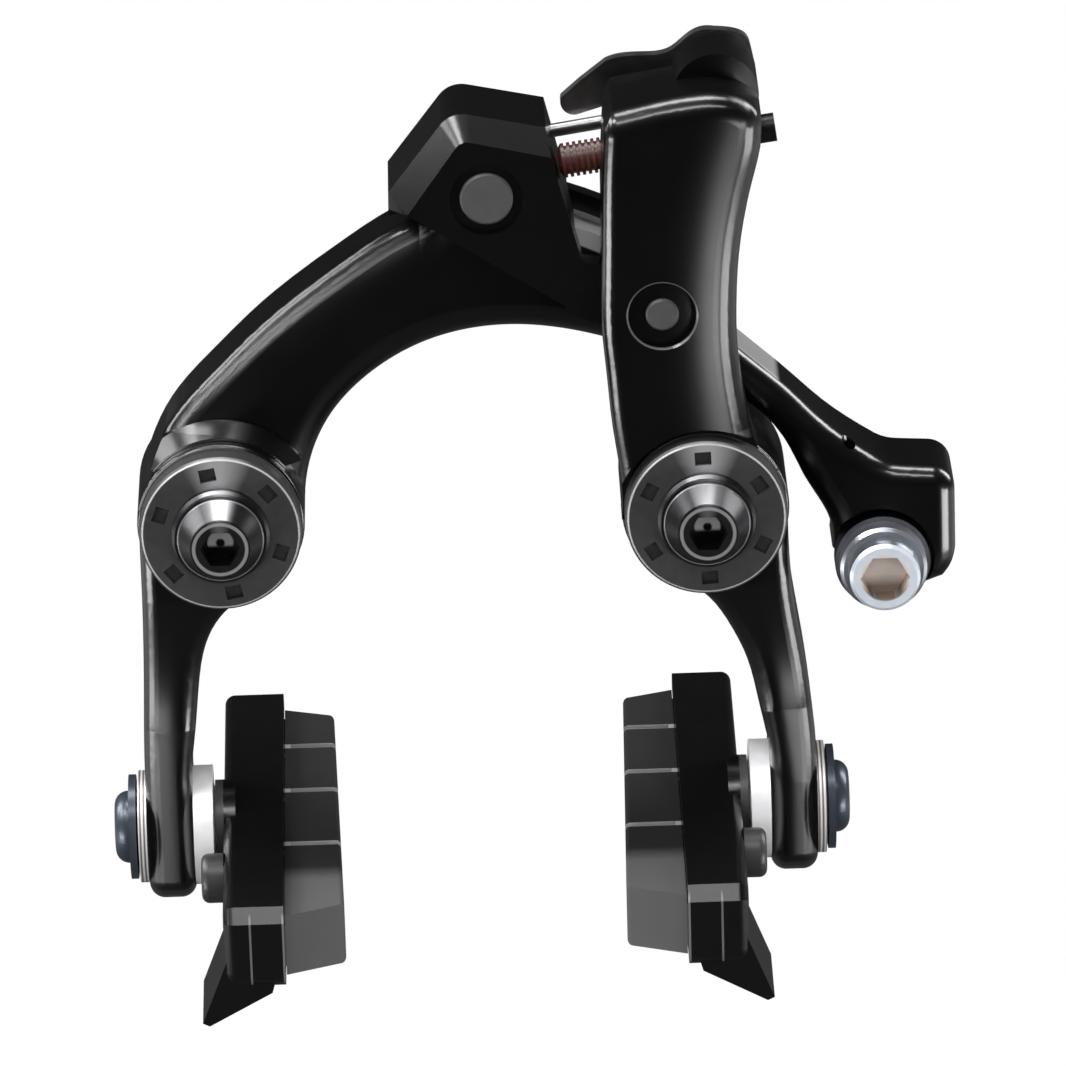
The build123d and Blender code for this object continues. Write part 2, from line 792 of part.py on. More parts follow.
clamp_seat = clamp_boss_front + clamp_plate_t + clamp_collar_t
with BuildPart() as clamp_bolt:
    with BuildSketch(front_plane(clamp_boss_front - clamp_thread_length)):
        with Locations((clamp_x, clamp_z)):
            Circle(clamp_thread_r)
    extrude(amount=clamp_seat - clamp_boss_front + clamp_thread_length)
    with BuildSketch(front_plane(clamp_seat)):
        with Locations((clamp_x, clamp_z)):
            Circle(clamp_head_r)
    extrude(amount=clamp_head_t)
    chamfer(clamp_bolt.edges().group_by(Axis.Y)[0], length=clamp_chamfer)
    with BuildSketch(front_plane(clamp_seat + clamp_head_t)):
        with Locations((clamp_x, clamp_z)):
            RegularPolygon(clamp_hex / 2, 6, major_radius=False)
    extrude(amount=-clamp_socket_depth, mode=Mode.SUBTRACT)
clamp_bolt.part.label = "clamp_bolt"
export_step(clamp_bolt.part, "parts/clamp_bolt.step")

# Centring screw's own frame: z runs along the screw, away from the link block
screw_angle = math.radians(screw_slope)
screw_dir = Vector(math.cos(screw_angle), 0, math.sin(screw_angle))
screw_middle = Vector(screw_x, -screw_depth, screw_z)
screw_tip = screw_middle - screw_dir * screw_tip_reach
screw_end = screw_middle + screw_dir * screw_tail_reach

# Right arm: the upright, its head with the spring cup, and the fork for the link block's lug
with BuildPart() as right_upper:
    with BuildSketch(front_plane(head_back)):
        with BuildLine():
            Spline(
                (18.3, -1.0),
                (18.4, 3.2),
                (17.5, 10.6),
                (16.9, 18.0),
                (16.6, 21.7),
                (16.7, 30.0),
                (17.0, 40.0),
                (17.4, 46.5),
            )
            Line((17.4, 46.5), (18.4, 48.7))
            Spline((18.4, 48.7), (22.0, 49.5), (27.5, 50.4), (31.5, 50.3), (34.4, 49.0), (35.4, 46.0))
            Spline(
                (35.4, 46.0),
                (35.1, 43.2),
                (34.2, 39.6),
                (33.1, 34.7),
                (32.4, 29.8),
                (32.1, 24.9),
                (32.1, 20.0),
                (32.6, 15.0),
                (33.4, 10.1),
                (34.1, 7.6),
                (36.5, 4.5),
            )
            Line((36.5, 4.5), (boss_x, -2.0))
            Line((boss_x, -2.0), (18.3, -1.0))
        make_face()
    extrude(amount=upright_front - head_back)
    # The front rolls over softly on the right and on top, with a tighter edge towards the block
    front_edges = right_upper.faces().sort_by(Axis.Y)[0].edges().filter_by(lambda e: e.center().Z > 5)
    soft_edges = front_edges.filter_by(lambda e: e.center().X > 20)
    fillet(soft_edges, radius=upright_soft_r)
    front_edges = right_upper.faces().sort_by(Axis.Y)[0].edges().filter_by(lambda e: e.center().Z > 5)
    tight_edges = front_edges.filter_by(lambda e: e.center().X < 20)
    fillet(tight_edges, radius=upright_edge_r)
    with BuildSketch(Plane.YZ):
        with BuildLine():
            Polyline(
                (0, -5),
                (-upright_back, -5),
                (-upright_back, head_bottom - 3),
                (-head_back, head_bottom),
                (0, head_bottom),
                close=True,
            )
        make_face()
    extrude(amount=through, both=True, mode=Mode.SUBTRACT)
    # Flat at the back of the head, cup for the spring, post inside it
    with BuildSketch(front_plane(rear_plate_from)):
        with BuildLine():
            Polyline((17.6, 45.8), (27.0, 45.8), (27.0, 49.9), (18.4, 48.5), (17.6, 46.8), close=True)
        make_face()
    extrude(amount=head_back - rear_plate_from)
    with BuildSketch(front_plane(plate_front)):
        with Locations((spring_cup_x, spring_cup_z)):
            Circle(spring_cup_r)
    extrude(amount=spring_cup_front - plate_front)
    with BuildSketch(front_plane(plate_front)):
        with Locations((spring_cup_x, spring_cup_z)):
            Circle(spring_pocket_r)
            Circle(spring_post_r, mode=Mode.SUBTRACT)
    extrude(amount=spring_pocket_depth - plate_front, mode=Mode.SUBTRACT)
    with BuildSketch(front_plane(plate_front)):
        with Locations((spring_cup_x, spring_cup_z)):
            Circle(plate_screw_r + thread_room)
    extrude(amount=plate_screw_reach, mode=Mode.SUBTRACT)
    # Clear of the ring nut
    with BuildSketch(front_plane(hub_front)):
        with Locations((boss_x, 0)):
            Circle(hub_r + nut_room)
    extrude(amount=through, mode=Mode.SUBTRACT)
    # Fork for the lug, pin hole and the round recess in front of it
    with BuildSketch(front_plane(fork_back)):
        with Locations((pin_b_x, pin_b_z)):
            Circle(fork_r)
        with Locations((pin_b_x - 10, (fork_bottom + fork_top) / 2)):
            Rectangle(20, fork_top - fork_bottom)
    extrude(amount=fork_front - fork_back, mode=Mode.SUBTRACT)
    with BuildSketch(front_plane(upright_front)):
        with Locations((pin_b_x, pin_b_z)):
            Circle(pin_b_ring_r)
    extrude(amount=-pin_b_recess, mode=Mode.SUBTRACT)
    rims = right_upper.edges().filter_by(GeomType.CIRCLE)
    rims = rims.filter_by(lambda e: e.center().Y < -upright_front + 0.1 and e.radius > pin_b_ring_r - 0.1)
    chamfer(rims, length=recess_chamfer)
    with BuildSketch(front_plane(upright_front)):
        with Locations((pin_b_x, pin_b_z)):
            Circle(pin_b_r)
    extrude(amount=upright_back - upright_front, mode=Mode.SUBTRACT)
    # Tapped hole of the centring screw
    with BuildSketch(Plane(origin=screw_tip, x_dir=forward, z_dir=screw_dir)):
        Circle(screw_r + running_clearance)
    extrude(amount=through, mode=Mode.SUBTRACT)

# Spring that turns the link block's roller down on the track: a coil round the post
coil = coil_points(
    spring_cup_x,
    spring_cup_z,
    link_coil_r,
    link_coil_pitch,
    link_coil_quarters,
    spring_first_depth,
    link_leg_slope - 90,
)
leg_angle = math.radians(link_leg_slope)
leg_dir = Vector(-math.cos(leg_angle), 0, -math.sin(leg_angle))
rear_place, rear_along = coil[0]
front_place, front_along = coil[-1]
rear_corner = leg_corner(rear_place, rear_along * -1, leg_dir, leg_bend_r)
front_corner = leg_corner(front_place, front_along, forward, leg_bend_r)
rear_tip = rear_corner + leg_dir * spring_leg_length
front_tip = Vector(front_corner.X, -(spring_pocket_depth + spring_leg_room), front_corner.Z)
with BuildPart() as link_spring:
    with BuildLine() as wire:
        Line(rear_tip, rear_corner)
        TangentArc(rear_corner, rear_place, tangent=leg_dir * -1)
        for (p, p_dir), (q, q_dir) in zip(coil, coil[1:]):
            biarc(p, p_dir, q, q_dir)
        TangentArc(front_place, front_corner, tangent=front_along)
        Line(front_corner, front_tip)
    with BuildSketch(Plane(origin=rear_tip, z_dir=leg_dir * -1)):
        Circle(link_wire_r)
    sweep(path=wire.line)
link_spring.part.label = "link_spring"
export_step(link_spring.part, "parts/link_spring.step")
link_gap = least_gap(link_coil_r, link_coil_pitch, link_coil_quarters, link_wire_r)
print("link spring, least gap to itself", round(link_gap, 2), "mm")

# Both arms: join upper and lower halves, then bore for sleeve, return spring and shoe bolt
uppers = {"left": left_upper.part, "right": right_upper.part}
for side, name in ((-1, "left"), (1, "right")):
    axis_x = side * boss_x
    slot_z = shoe_bolt_z[name] + (slot_up - slot_down) / 2
    slot_r = shoe_bolt_r + slot_clearance
    with BuildPart() as arm:
        add(uppers[name])
        add(lower_arms[name])
        with BuildSketch(Plane.YZ.offset(leg_inner_x[name])):
            with Locations((-shoe_depth, slot_z)):
                SlotCenterToCenter(slot_up + slot_down, 2 * slot_r, rotation=90)
        extrude(amount=leg_t + spacer_t, both=True, mode=Mode.SUBTRACT)
        with BuildSketch(Plane.YZ.offset(leg_inner_x[name])):
            with Locations((-shoe_depth, slot_z)):
                SlotCenterToCenter(slot_up + slot_down, 2 * (spacer_r + layer_gap), rotation=90)
        extrude(amount=-side * leg_t, mode=Mode.SUBTRACT)
        with BuildSketch(front_plane(0)):
            with Locations((axis_x, 0)):
                Circle(sleeve_out_r)
        extrude(amount=through, mode=Mode.SUBTRACT)
        with BuildSketch(front_plane(0)):
            with Locations((axis_x, 0)):
                Circle(cavity_r)
        extrude(amount=hub_back + cavity_depth, mode=Mode.SUBTRACT)
        with BuildSketch(front_plane(hub_back)):
            with Locations((leg_places[name].X, leg_places[name].Z)):
                Circle(hub_wire_r + leg_hole_clearance)
        extrude(amount=cavity_depth + leg_hold + leg_room, mode=Mode.SUBTRACT)
        if name == "right":
            # Way out of the cup for the spring's long leg, hole for its short one
            with BuildSketch(front_plane(plate_front)):
                with Locations((spring_cup_x - 2.6, spring_cup_z - spring_cup_r + 1.2)):
                    Rectangle(7.2, 2.8)
            extrude(amount=spring_first_depth + link_wire_r + 0.6 - plate_front, mode=Mode.SUBTRACT)
            with BuildSketch(front_plane(spring_pocket_depth - 1.5)):
                with Locations((front_tip.X, front_tip.Z)):
                    Circle(link_wire_r + leg_hole_clearance)
            extrude(amount=spring_leg_room + 1.8, mode=Mode.SUBTRACT)
    arm.part.label = f"{name}_arm"
    export_step(arm.part, f"parts/{name}_arm.step")
    print(name, "arm", round(arm.part.volume), arm.part.is_valid, len(arm.part.solids()))

# Plate that closes the spring cup, with a lug towards the link block, and its screw. Its outline
# is given as distances from the cup's middle, to the right and up.
plate_lobe = ((-12.4, 1.7), (-15.4, -0.6), (-17.6, -2.5))
plate_lug = (-15.8, -4.6)
plate_below = ((-12.4, -3.6), (-3.9, -4.9))
plate_cap = ((-3.9, -4.9), (1.1, -5.0), (4.7, -2.1), (4.5, 2.4), (0.2, 5.1))
plate_top = ((0.2, 5.1), (-2.8, 4.4), (-5.0, 2.7), (-8.5, 2.3), (-12.4, 1.7))


def by_cup(right, up):
    """A point of the plate from its distances to the right of the spring cup's middle and up."""
    return (spring_cup_x + right, spring_cup_z + up)


with BuildPart() as spring_plate:
    with BuildSketch(front_plane(plate_back)):
        with BuildLine():
            Polyline(*[by_cup(*point) for point in plate_lobe])
            RadiusArc(by_cup(*plate_lobe[-1]), by_cup(*plate_lug), -plate_tip_r)
            Polyline(*[by_cup(*point) for point in (plate_lug, *plate_below)])
            Spline(*[by_cup(*point) for point in plate_cap], tangents=((1, -0.1), (-1, 0.05)))
            Spline(*[by_cup(*point) for point in plate_top])
        make_face()
    extrude(amount=plate_front - plate_back)
    with BuildSketch(front_plane(plate_back)):
        with Locations((spring_cup_x, spring_cup_z)):
            Circle(plate_screw_r + thread_room)
    extrude(amount=plate_front, mode=Mode.SUBTRACT)
spring_plate.part.label = "spring_plate"
export_step(spring_plate.part, "parts/spring_plate.step")

with BuildPart() as plate_screw:
    with BuildSketch(front_plane(0)):
        with Locations((spring_cup_x, spring_cup_z)):
            Circle(plate_screw_head_r)
            Rectangle(2 * plate_screw_head_r, slot_cut, rotation=slot_turn, mode=Mode.SUBTRACT)
    extrude(amount=plate_back)
    with BuildSketch(front_plane(plate_back / 2)):
        with Locations((spring_cup_x, spring_cup_z)):
            Circle(plate_screw_r)
    extrude(amount=plate_screw_reach)
plate_screw.part.label = "plate_screw"
export_step(plate_screw.part, "parts/plate_screw.step")

# Link block: a bevelled block that bridges the arch and holds the roller
# Its outlines are distances from pin A, to the right and up; the first three points are the
# rounded corner at the top.
block_outer = (
    (-5.03, 8.28),
    (-3.6, 9.32),
    (-1.84, 9.45),
    (7.0, 7.6),
    (12.3, -14.2),
    (11.4, -15.3),
    (-10.0, -5.5),
    (-11.3, -4.0),
    (-11.2, 0.4),
)
block_inner = (
    (-3.34, 6.3),
    (-2.61, 6.86),
    (-1.69, 6.92),
    (7.5, 4.8),
    (12.3, -14.0),
    (11.2, -14.8),
    (-9.0, -2.2),
    (-9.3, -1.9),
    (-9.1, -1.6),
)
with BuildPart() as link_block:
    with BuildSketch(front_plane(block_back)):
        with BuildLine():
            block_outline(block_outer)
        make_face()
    extrude(amount=block_bevel_from - block_back)
    with BuildSketch(front_plane(block_bevel_from)):
        with BuildLine():
            block_outline(block_outer)
        make_face()
    with BuildSketch(front_plane(block_front)):
        with BuildLine():
            block_outline(block_inner)
        make_face()
    loft(ruled=True)
    # Room for the arch, and deeper at the back for its guide rib
    with BuildSketch(front_plane(0)):
        with Locations((track_x, track_z)):
            Circle(track_r + block_clearance)
    extrude(amount=arch_front + layer_gap, mode=Mode.SUBTRACT)
    with BuildSketch(front_plane(0)):
        with Locations((track_x, track_z)):
            Circle(guide_r + guide_clearance)
    extrude(amount=wall_back, mode=Mode.SUBTRACT)
    # Flush along the lower edge, in front of the arch
    lower_edge = [(pin_a_x + right, pin_a_z + up) for right, up in (block_inner[-1], block_inner[5])]
    with BuildSketch(front_plane(arch_front + layer_gap)):
        with BuildLine():
            Polyline(
                *lower_edge,
                (lower_edge[1][0], lower_edge[1][1] - block_length),
                (lower_edge[0][0] - block_length, lower_edge[1][1] - block_length),
                (lower_edge[0][0] - block_length, lower_edge[0][1]),
                close=True,
            )
        make_face()
    extrude(amount=block_front, mode=Mode.SUBTRACT)
    # Slot for the roller, open towards the track
    with BuildSketch(front_plane(roller_front + slot_side)):
        with Locations((pin_a_x, pin_a_z)):
            Circle(roller_r + slot_round)
        with Locations((pin_a_x, pin_a_z - 5)):
            Rectangle(2 * (roller_r + slot_round), 10)
    extrude(amount=-(roller_width + 2 * slot_side), mode=Mode.SUBTRACT)
    # Lug that enters the fork of the right arm
    with BuildSketch(front_plane(lug_front)):
        with BuildLine():
            Polyline((12.5, 24.4), (13.4, 30.4), (24.1, 28.65), (22.6, 20.4), (14.8, 23.3), close=True)
        make_face()
        with Locations((pin_b_x, pin_b_z)):
            Circle(lug_r)
    extrude(amount=-lug_t)
    with BuildSketch(front_plane(lug_front)):
        with Locations((pin_b_x, pin_b_z)):
            Circle(pin_b_r + running_clearance)
    extrude(amount=-2 * lug_t, mode=Mode.SUBTRACT)
    # Roller pin's hole and the recess round its cap
    with BuildSketch(front_plane(block_front)):
        with Locations((pin_a_x, pin_a_z)):
            Circle(cap_ring_r)
    extrude(amount=-cap_recess, mode=Mode.SUBTRACT)
    with BuildSketch(front_plane(block_front)):
        with Locations((pin_a_x, pin_a_z)):
            Circle(pin_a_r)
    extrude(amount=-block_front, mode=Mode.SUBTRACT)
    # Blind hole for the long leg of the spring
    with BuildSketch(Plane(origin=rear_tip + leg_dir * blind_room, z_dir=leg_dir * -1)):
        Circle(link_wire_r + leg_hole_clearance)
    extrude(amount=blind_depth, mode=Mode.SUBTRACT)
link_block.part.label = "link_block"
export_step(link_block.part, "parts/link_block.step")
print("link block", round(link_block.part.volume), link_block.part.is_valid, len(link_block.part.solids()))

# Roller, and the headed pin it turns on
cap_seat = block_front - cap_recess
with BuildPart() as roller_axle:
    with BuildSketch(front_plane(wall_back + pin_inset)):
        with Locations((pin_a_x, pin_a_z)):
            Circle(pin_a_r)
    extrude(amount=cap_seat - wall_back - pin_inset)
    with BuildSketch(front_plane(cap_seat)):
        with Locations((pin_a_x, pin_a_z)):
            Circle(cap_r)
    extrude(amount=cap_recess - pin_inset)
    chamfer(roller_axle.edges().group_by(Axis.Y)[0], length=pin_chamfer)
roller_axle.part.label = "roller_axle"
export_step(roller_axle.part, "parts/roller_axle.step")

with BuildPart() as roller:
    with BuildSketch(front_plane(roller_front)):
        with Locations((pin_a_x, pin_a_z)):
            Circle(roller_r)
            Circle(pin_a_r + running_clearance, mode=Mode.SUBTRACT)
    extrude(amount=-roller_width)
roller.part.label = "roller"
export_step(roller.part, "parts/roller.step")

# Pin that joins the link block's lug to the right arm
with BuildPart() as link_pin:
    with BuildSketch(front_plane(upright_back + 2 * pin_inset)):
        with Locations((pin_b_x, pin_b_z)):
            Circle(pin_b_r)
    extrude(amount=upright_front - upright_back - 5 * pin_inset)
    chamfer(link_pin.edges().group_by(Axis.Y)[0], length=pin_chamfer)
link_pin.part.label = "link_pin"
export_step(link_pin.part, "parts/link_pin.step")

# Centring screw, with a few turns of its thread shown where it leaves the arm
with BuildPart() as centering_screw:
    with BuildSketch(Plane(origin=screw_tip, x_dir=forward, z_dir=screw_dir)):
        Circle(screw_tip_r)
    with BuildSketch(Plane(origin=screw_tip + screw_dir * screw_tip_length, x_dir=forward, z_dir=screw_dir)):
        Circle(screw_r)
    loft()
    with BuildSketch(Plane(origin=screw_tip + screw_dir * screw_tip_length, x_dir=forward, z_dir=screw_dir)):
        Circle(screw_r)
    extrude(amount=screw_tip_reach + screw_tail_reach - screw_tip_length)
    with BuildSketch(Plane(origin=screw_end, x_dir=forward, z_dir=screw_dir)):
        Circle(screw_stub_r)
    extrude(amount=screw_stub_length)
    with BuildSketch(Plane(origin=screw_end + screw_dir * screw_stub_length, x_dir=forward, z_dir=screw_dir)):
        RegularPolygon(screw_hex / 2, 6, major_radius=False)
    extrude(amount=-screw_socket, mode=Mode.SUBTRACT)
    for turn in range(thread_count):
        groove_at = screw_tip + screw_dir * (screw_tip_length + (turn + 0.5) * thread_pitch)
        with BuildSketch(Plane(origin=groove_at, x_dir=forward, z_dir=screw_dir)):
            Circle(screw_r + 1)
            Circle(screw_r - thread_depth, mode=Mode.SUBTRACT)
        extrude(amount=thread_pitch / 2, mode=Mode.SUBTRACT)
centering_screw.part.label = "centering_screw"
export_step(centering_screw.part, "parts/centering_screw.step")

# Brake shoes, one on each leg; in a shoe's frame z runs inward from the holder's back
for side, name in ((-1, "left"), (1, "right")):
    inner_x = leg_inner_x[name]
    outer_x = inner_x + side * leg_t
    eye_z = shoe_bolt_z[name]
    inward = Vector(-side, 0, 0)
    pitch_angle = math.radians(holder_pitch)
    near = Vector(0, -math.cos(pitch_angle), -math.sin(pitch_angle))
    eye = Vector(inner_x, -shoe_depth, eye_z)
    outer_eye = Vector(outer_x, -shoe_depth, eye_z)
    holder_back = eye + inward * (spacer_t + ball_t)

    # Flat washers on both faces of the leg with a low dome, and hollow ones that tilt on the domes
    for piece, start, thickness, outer_r, dome_washer_t, flange_r in (
        ("shoe_spacer", eye, spacer_t, spacer_r, ball_t, ball_r),
        ("cup_washer", outer_eye, cup_t, cup_r, dome_flange_t, dome_flange_r),
    ):
        away = inward if piece == "shoe_spacer" else inward * -1
        tilting = "ball_washer" if piece == "shoe_spacer" else "dome_washer"
        washer_plane = Plane(origin=start, x_dir=away, z_dir=(0, 1, 0))
        turning_axis = Axis(start, away)
        with BuildPart() as flat_washer:
            with BuildSketch(washer_plane):
                with BuildLine():
                    Polyline(
                        (thickness + dome_rise(wide_hole_r, seat_sphere_r), wide_hole_r),
                        (0, wide_hole_r),
                        (0, outer_r),
                        (thickness, outer_r),
                        (thickness, seat_rim_r),
                    )
                    RadiusArc(
                        (thickness, seat_rim_r),
                        (thickness + dome_rise(wide_hole_r, seat_sphere_r), wide_hole_r),
                        seat_sphere_r,
                    )
                make_face()
            revolve(axis=turning_axis)
        flat_washer.part.label = f"{piece}_{name}"
        export_step(flat_washer.part, f"parts/{piece}_{name}.step")

        hollow_r = seat_sphere_r + seat_gap
        with BuildPart() as tilting_washer:
            with BuildSketch(washer_plane):
                with BuildLine():
                    Polyline(
                        (thickness + dome_rise(close_hole_r, hollow_r), close_hole_r),
                        (thickness + dome_washer_t, close_hole_r),
                        (thickness + dome_washer_t, flange_r),
                        (thickness + rim_gap, flange_r),
                        (thickness + rim_gap, hollow_rim_r),
                    )
                    RadiusArc(
                        (thickness + rim_gap, hollow_rim_r),
                        (thickness + dome_rise(close_hole_r, hollow_r), close_hole_r),
                        hollow_r,
                    )
                make_face()
            revolve(axis=turning_axis)
        tilting_washer.part.label = f"{tilting}_{name}"
        export_step(tilting_washer.part, f"parts/{tilting}_{name}.step")

    # Bolt through the leg's slot, into the back of the holder
    bolt_seat_x = outer_eye - inward * (cup_t + dome_flange_t)
    with BuildPart() as shoe_bolt:
        with BuildSketch(Plane(origin=bolt_seat_x, x_dir=near, z_dir=inward)):
            Circle(shoe_bolt_r)
        extrude(amount=cup_t + dome_flange_t + leg_t + spacer_t + ball_t + holder_wall - bolt_end_room)
        with BuildSketch(Plane(origin=bolt_seat_x, x_dir=near, z_dir=inward * -1)):
            Circle(dome_r)
        extrude(amount=dome_t)
        head_edges = shoe_bolt.faces().sort_by(Axis.X)[0 if side < 0 else -1].edges()
        fillet(head_edges, radius=dome_edge_r)
        with BuildSketch(Plane(origin=bolt_seat_x - inward * dome_t, x_dir=near, z_dir=inward)):
            RegularPolygon(shoe_hex / 2, 6, major_radius=False)
        extrude(amount=shoe_socket_depth, mode=Mode.SUBTRACT)
    shoe_bolt.part.label = f"shoe_bolt_{name}"
    export_step(shoe_bolt.part, f"parts/shoe_bolt_{name}.step")

    # Holder: a long channel, open at its far end, with a boss and a fin at the back
    middle_up = -holder_drop * side
    pad_top = holder_height / 2 - holder_drop - pad_top_step
    pad_up = (pad_top - pad_height / 2) * side
    channel_back = holder_wall
    channel_t = pad_base_t + 2 * pad_fit
    far_end = -holder_length / 2
    pad_far = -pad_length / 2
    pad_near = pad_length / 2
    shoe_plane = Plane(origin=holder_back, x_dir=near, z_dir=inward)
    with BuildPart() as shoe_holder:
        with BuildSketch(shoe_plane) as holder_side:
            with Locations((0, middle_up)):
                Rectangle(holder_length, holder_height)
            corners = holder_side.vertices().sort_by(lambda v: v.X + side * v.Y)
            fillet(corners[:-1], radius=holder_end_r)
            corners = holder_side.vertices().sort_by(lambda v: v.X + side * v.Y)
            chamfer(corners[-1], length=holder_bevel)
        extrude(amount=holder_t)
        back_edges = shoe_holder.faces().sort_by(Axis.X)[0 if side < 0 else -1].edges()
        fillet(back_edges, radius=holder_edge_r)
        with BuildSketch(shoe_plane):
            Circle(shoe_boss_r)
        extrude(amount=shoe_boss_t)
        with BuildSketch(Plane(origin=holder_back + near * fin_from, x_dir=inward, z_dir=near)):
            with BuildLine():
                Polyline(*[(z, -side * up) for z, up in fin_outline], close=True)
            make_face()
        extrude(amount=fin_length)
        with BuildSketch(shoe_plane.offset(channel_back)):
            with Locations(((far_end + pad_near + end_room) / 2, pad_up)):
                Rectangle(pad_near + end_room - far_end, pad_base_height + 2 * pad_fit)
        extrude(amount=channel_t, mode=Mode.SUBTRACT)
        with BuildSketch(shoe_plane.offset(channel_back)):
            with Locations(((far_end + pad_near + end_room) / 2, pad_up)):
                Rectangle(pad_near + end_room - far_end, pad_neck_height + 2 * pad_fit)
        extrude(amount=holder_t, mode=Mode.SUBTRACT)
        with BuildSketch(shoe_plane):
            Circle(shoe_bolt_r)
            with Locations((pad_screw_place, 0)):
                Circle(pad_screw_shank_r)
        extrude(amount=channel_back, mode=Mode.SUBTRACT)
    shoe_holder.part.label = f"shoe_holder_{name}"
    export_step(shoe_holder.part, f"parts/shoe_holder_{name}.step")
    print(name, "holder", round(shoe_holder.part.volume), shoe_holder.part.is_valid)

    # Pad: a block of rubber on a neck and a base that fill the channel
    with BuildPart() as brake_pad:
        with BuildSketch(shoe_plane.offset(channel_back + pad_fit)):
            with Locations((0, pad_up)):
                Rectangle(pad_length, pad_base_height)
        extrude(amount=pad_base_t)
        with BuildSketch(shoe_plane.offset(channel_back + pad_fit + pad_base_t)):
            with Locations((0, pad_up)):
                Rectangle(pad_length, pad_neck_height)
        extrude(amount=holder_t - channel_back - pad_base_t)
        # The rubber grows thicker towards the viewer, and its ends slope
        rubber_back = holder_t + pad_fit
        side_plane = Plane(origin=holder_back, x_dir=near, z_dir=near.cross(inward))
        with BuildSketch(side_plane.offset(-pad_up - pad_height / 2)):
            with BuildLine():
                Polyline(
                    (pad_far, rubber_back),
                    (pad_near, rubber_back),
                    (pad_near - pad_near_slope, rubber_back + pad_t_near),
                    (pad_far + pad_far_slope, rubber_back + pad_t_far),
                    close=True,
                )
            make_face()
        extrude(amount=pad_height)
        face_edges = brake_pad.faces().sort_by(Axis.X)[-1 if side < 0 else 0].edges()
        fillet(face_edges, radius=pad_edge_r)
        for place in groove_places:
            with BuildSketch(shoe_plane.offset(rubber_back + groove_floor)):
                with Locations((pad_far + place, pad_up)):
                    Rectangle(groove_width, pad_height + 2)
            extrude(amount=pad_t_near, mode=Mode.SUBTRACT)
    brake_pad.part.label = f"brake_pad_{name}"
    export_step(brake_pad.part, f"parts/brake_pad_{name}.step")

    # Small screw that keeps the pad from sliding out
    with BuildPart() as pad_screw:
        with BuildSketch(Plane(origin=holder_back + near * pad_screw_place, x_dir=near, z_dir=inward)):
            Circle(pad_screw_shank_r)
        extrude(amount=channel_back)
        with BuildSketch(Plane(origin=holder_back + near * pad_screw_place, x_dir=near, z_dir=inward * -1)):
            Circle(pad_screw_r)
        extrude(amount=pad_screw_t)
        head_edges = pad_screw.faces().sort_by(Axis.X)[0 if side < 0 else -1].edges()
        fillet(head_edges, radius=pad_screw_edge_r)
        screw_face = holder_back + near * pad_screw_place - inward * pad_screw_t
        with BuildSketch(Plane(origin=screw_face, x_dir=near, z_dir=inward)):
            RegularPolygon(pad_screw_hex / 2, 6, major_radius=False)
        extrude(amount=pad_screw_socket, mode=Mode.SUBTRACT)
    pad_screw.part.label = f"pad_screw_{name}"
    export_step(pad_screw.part, f"parts/pad_screw_{name}.step")
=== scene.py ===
import math

import bpy
from mathutils import Matrix, Vector

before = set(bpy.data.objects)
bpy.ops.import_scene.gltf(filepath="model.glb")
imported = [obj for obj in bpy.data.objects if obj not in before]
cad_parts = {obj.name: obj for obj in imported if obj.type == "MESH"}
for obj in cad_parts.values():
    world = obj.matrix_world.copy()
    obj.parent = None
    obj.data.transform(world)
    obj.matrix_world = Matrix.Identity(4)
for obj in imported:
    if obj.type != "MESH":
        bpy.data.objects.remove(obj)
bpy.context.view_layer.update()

# The view: a studio camera a good metre away, a little above the caliper, with a slight roll.
# The picture is square, and the point midway between the two ring nuts' faces lies at
# nut_plane_px in it.
picture_px = 1066
px_per_m = 8683.0
camera_distance = 1.10
sensor_mm = 36
nearest_seen = 0.05
farthest_seen = 20
elevation = math.radians(20.5)
azimuth = math.radians(0.5)
roll = math.radians(1.7)
nut_plane = Vector((0, -0.020, 0))
nut_plane_px = Vector((463.7, 526.55))

level_right = Vector((math.cos(azimuth), -math.sin(azimuth), 0))
level_up = Vector((
    math.sin(azimuth) * math.sin(elevation),
    math.cos(azimuth) * math.sin(elevation),
    math.cos(elevation),
))
picture_right = level_right * math.cos(roll) - level_up * math.sin(roll)
picture_up = level_right * math.sin(roll) + level_up * math.cos(roll)
picture_back = picture_right.cross(picture_up)
off_centre = (Vector((picture_px / 2, picture_px / 2)) - nut_plane_px) / px_per_m
aim = nut_plane + picture_right * off_centre.x - picture_up * off_centre.y

lens = bpy.data.cameras.new("studio_camera")
lens.sensor_width = sensor_mm
lens.lens = px_per_m * camera_distance * sensor_mm / picture_px
lens.clip_start = nearest_seen
lens.clip_end = farthest_seen
camera = bpy.data.objects.new("studio_camera", lens)
camera.matrix_world = Matrix((picture_right, picture_up, picture_back)).transposed().to_4x4()
camera.location = aim + picture_back * camera_distance
bpy.context.scene.collection.objects.link(camera)
bpy.context.scene.camera = camera
bpy.context.scene.view_settings.view_transform = "Standard"


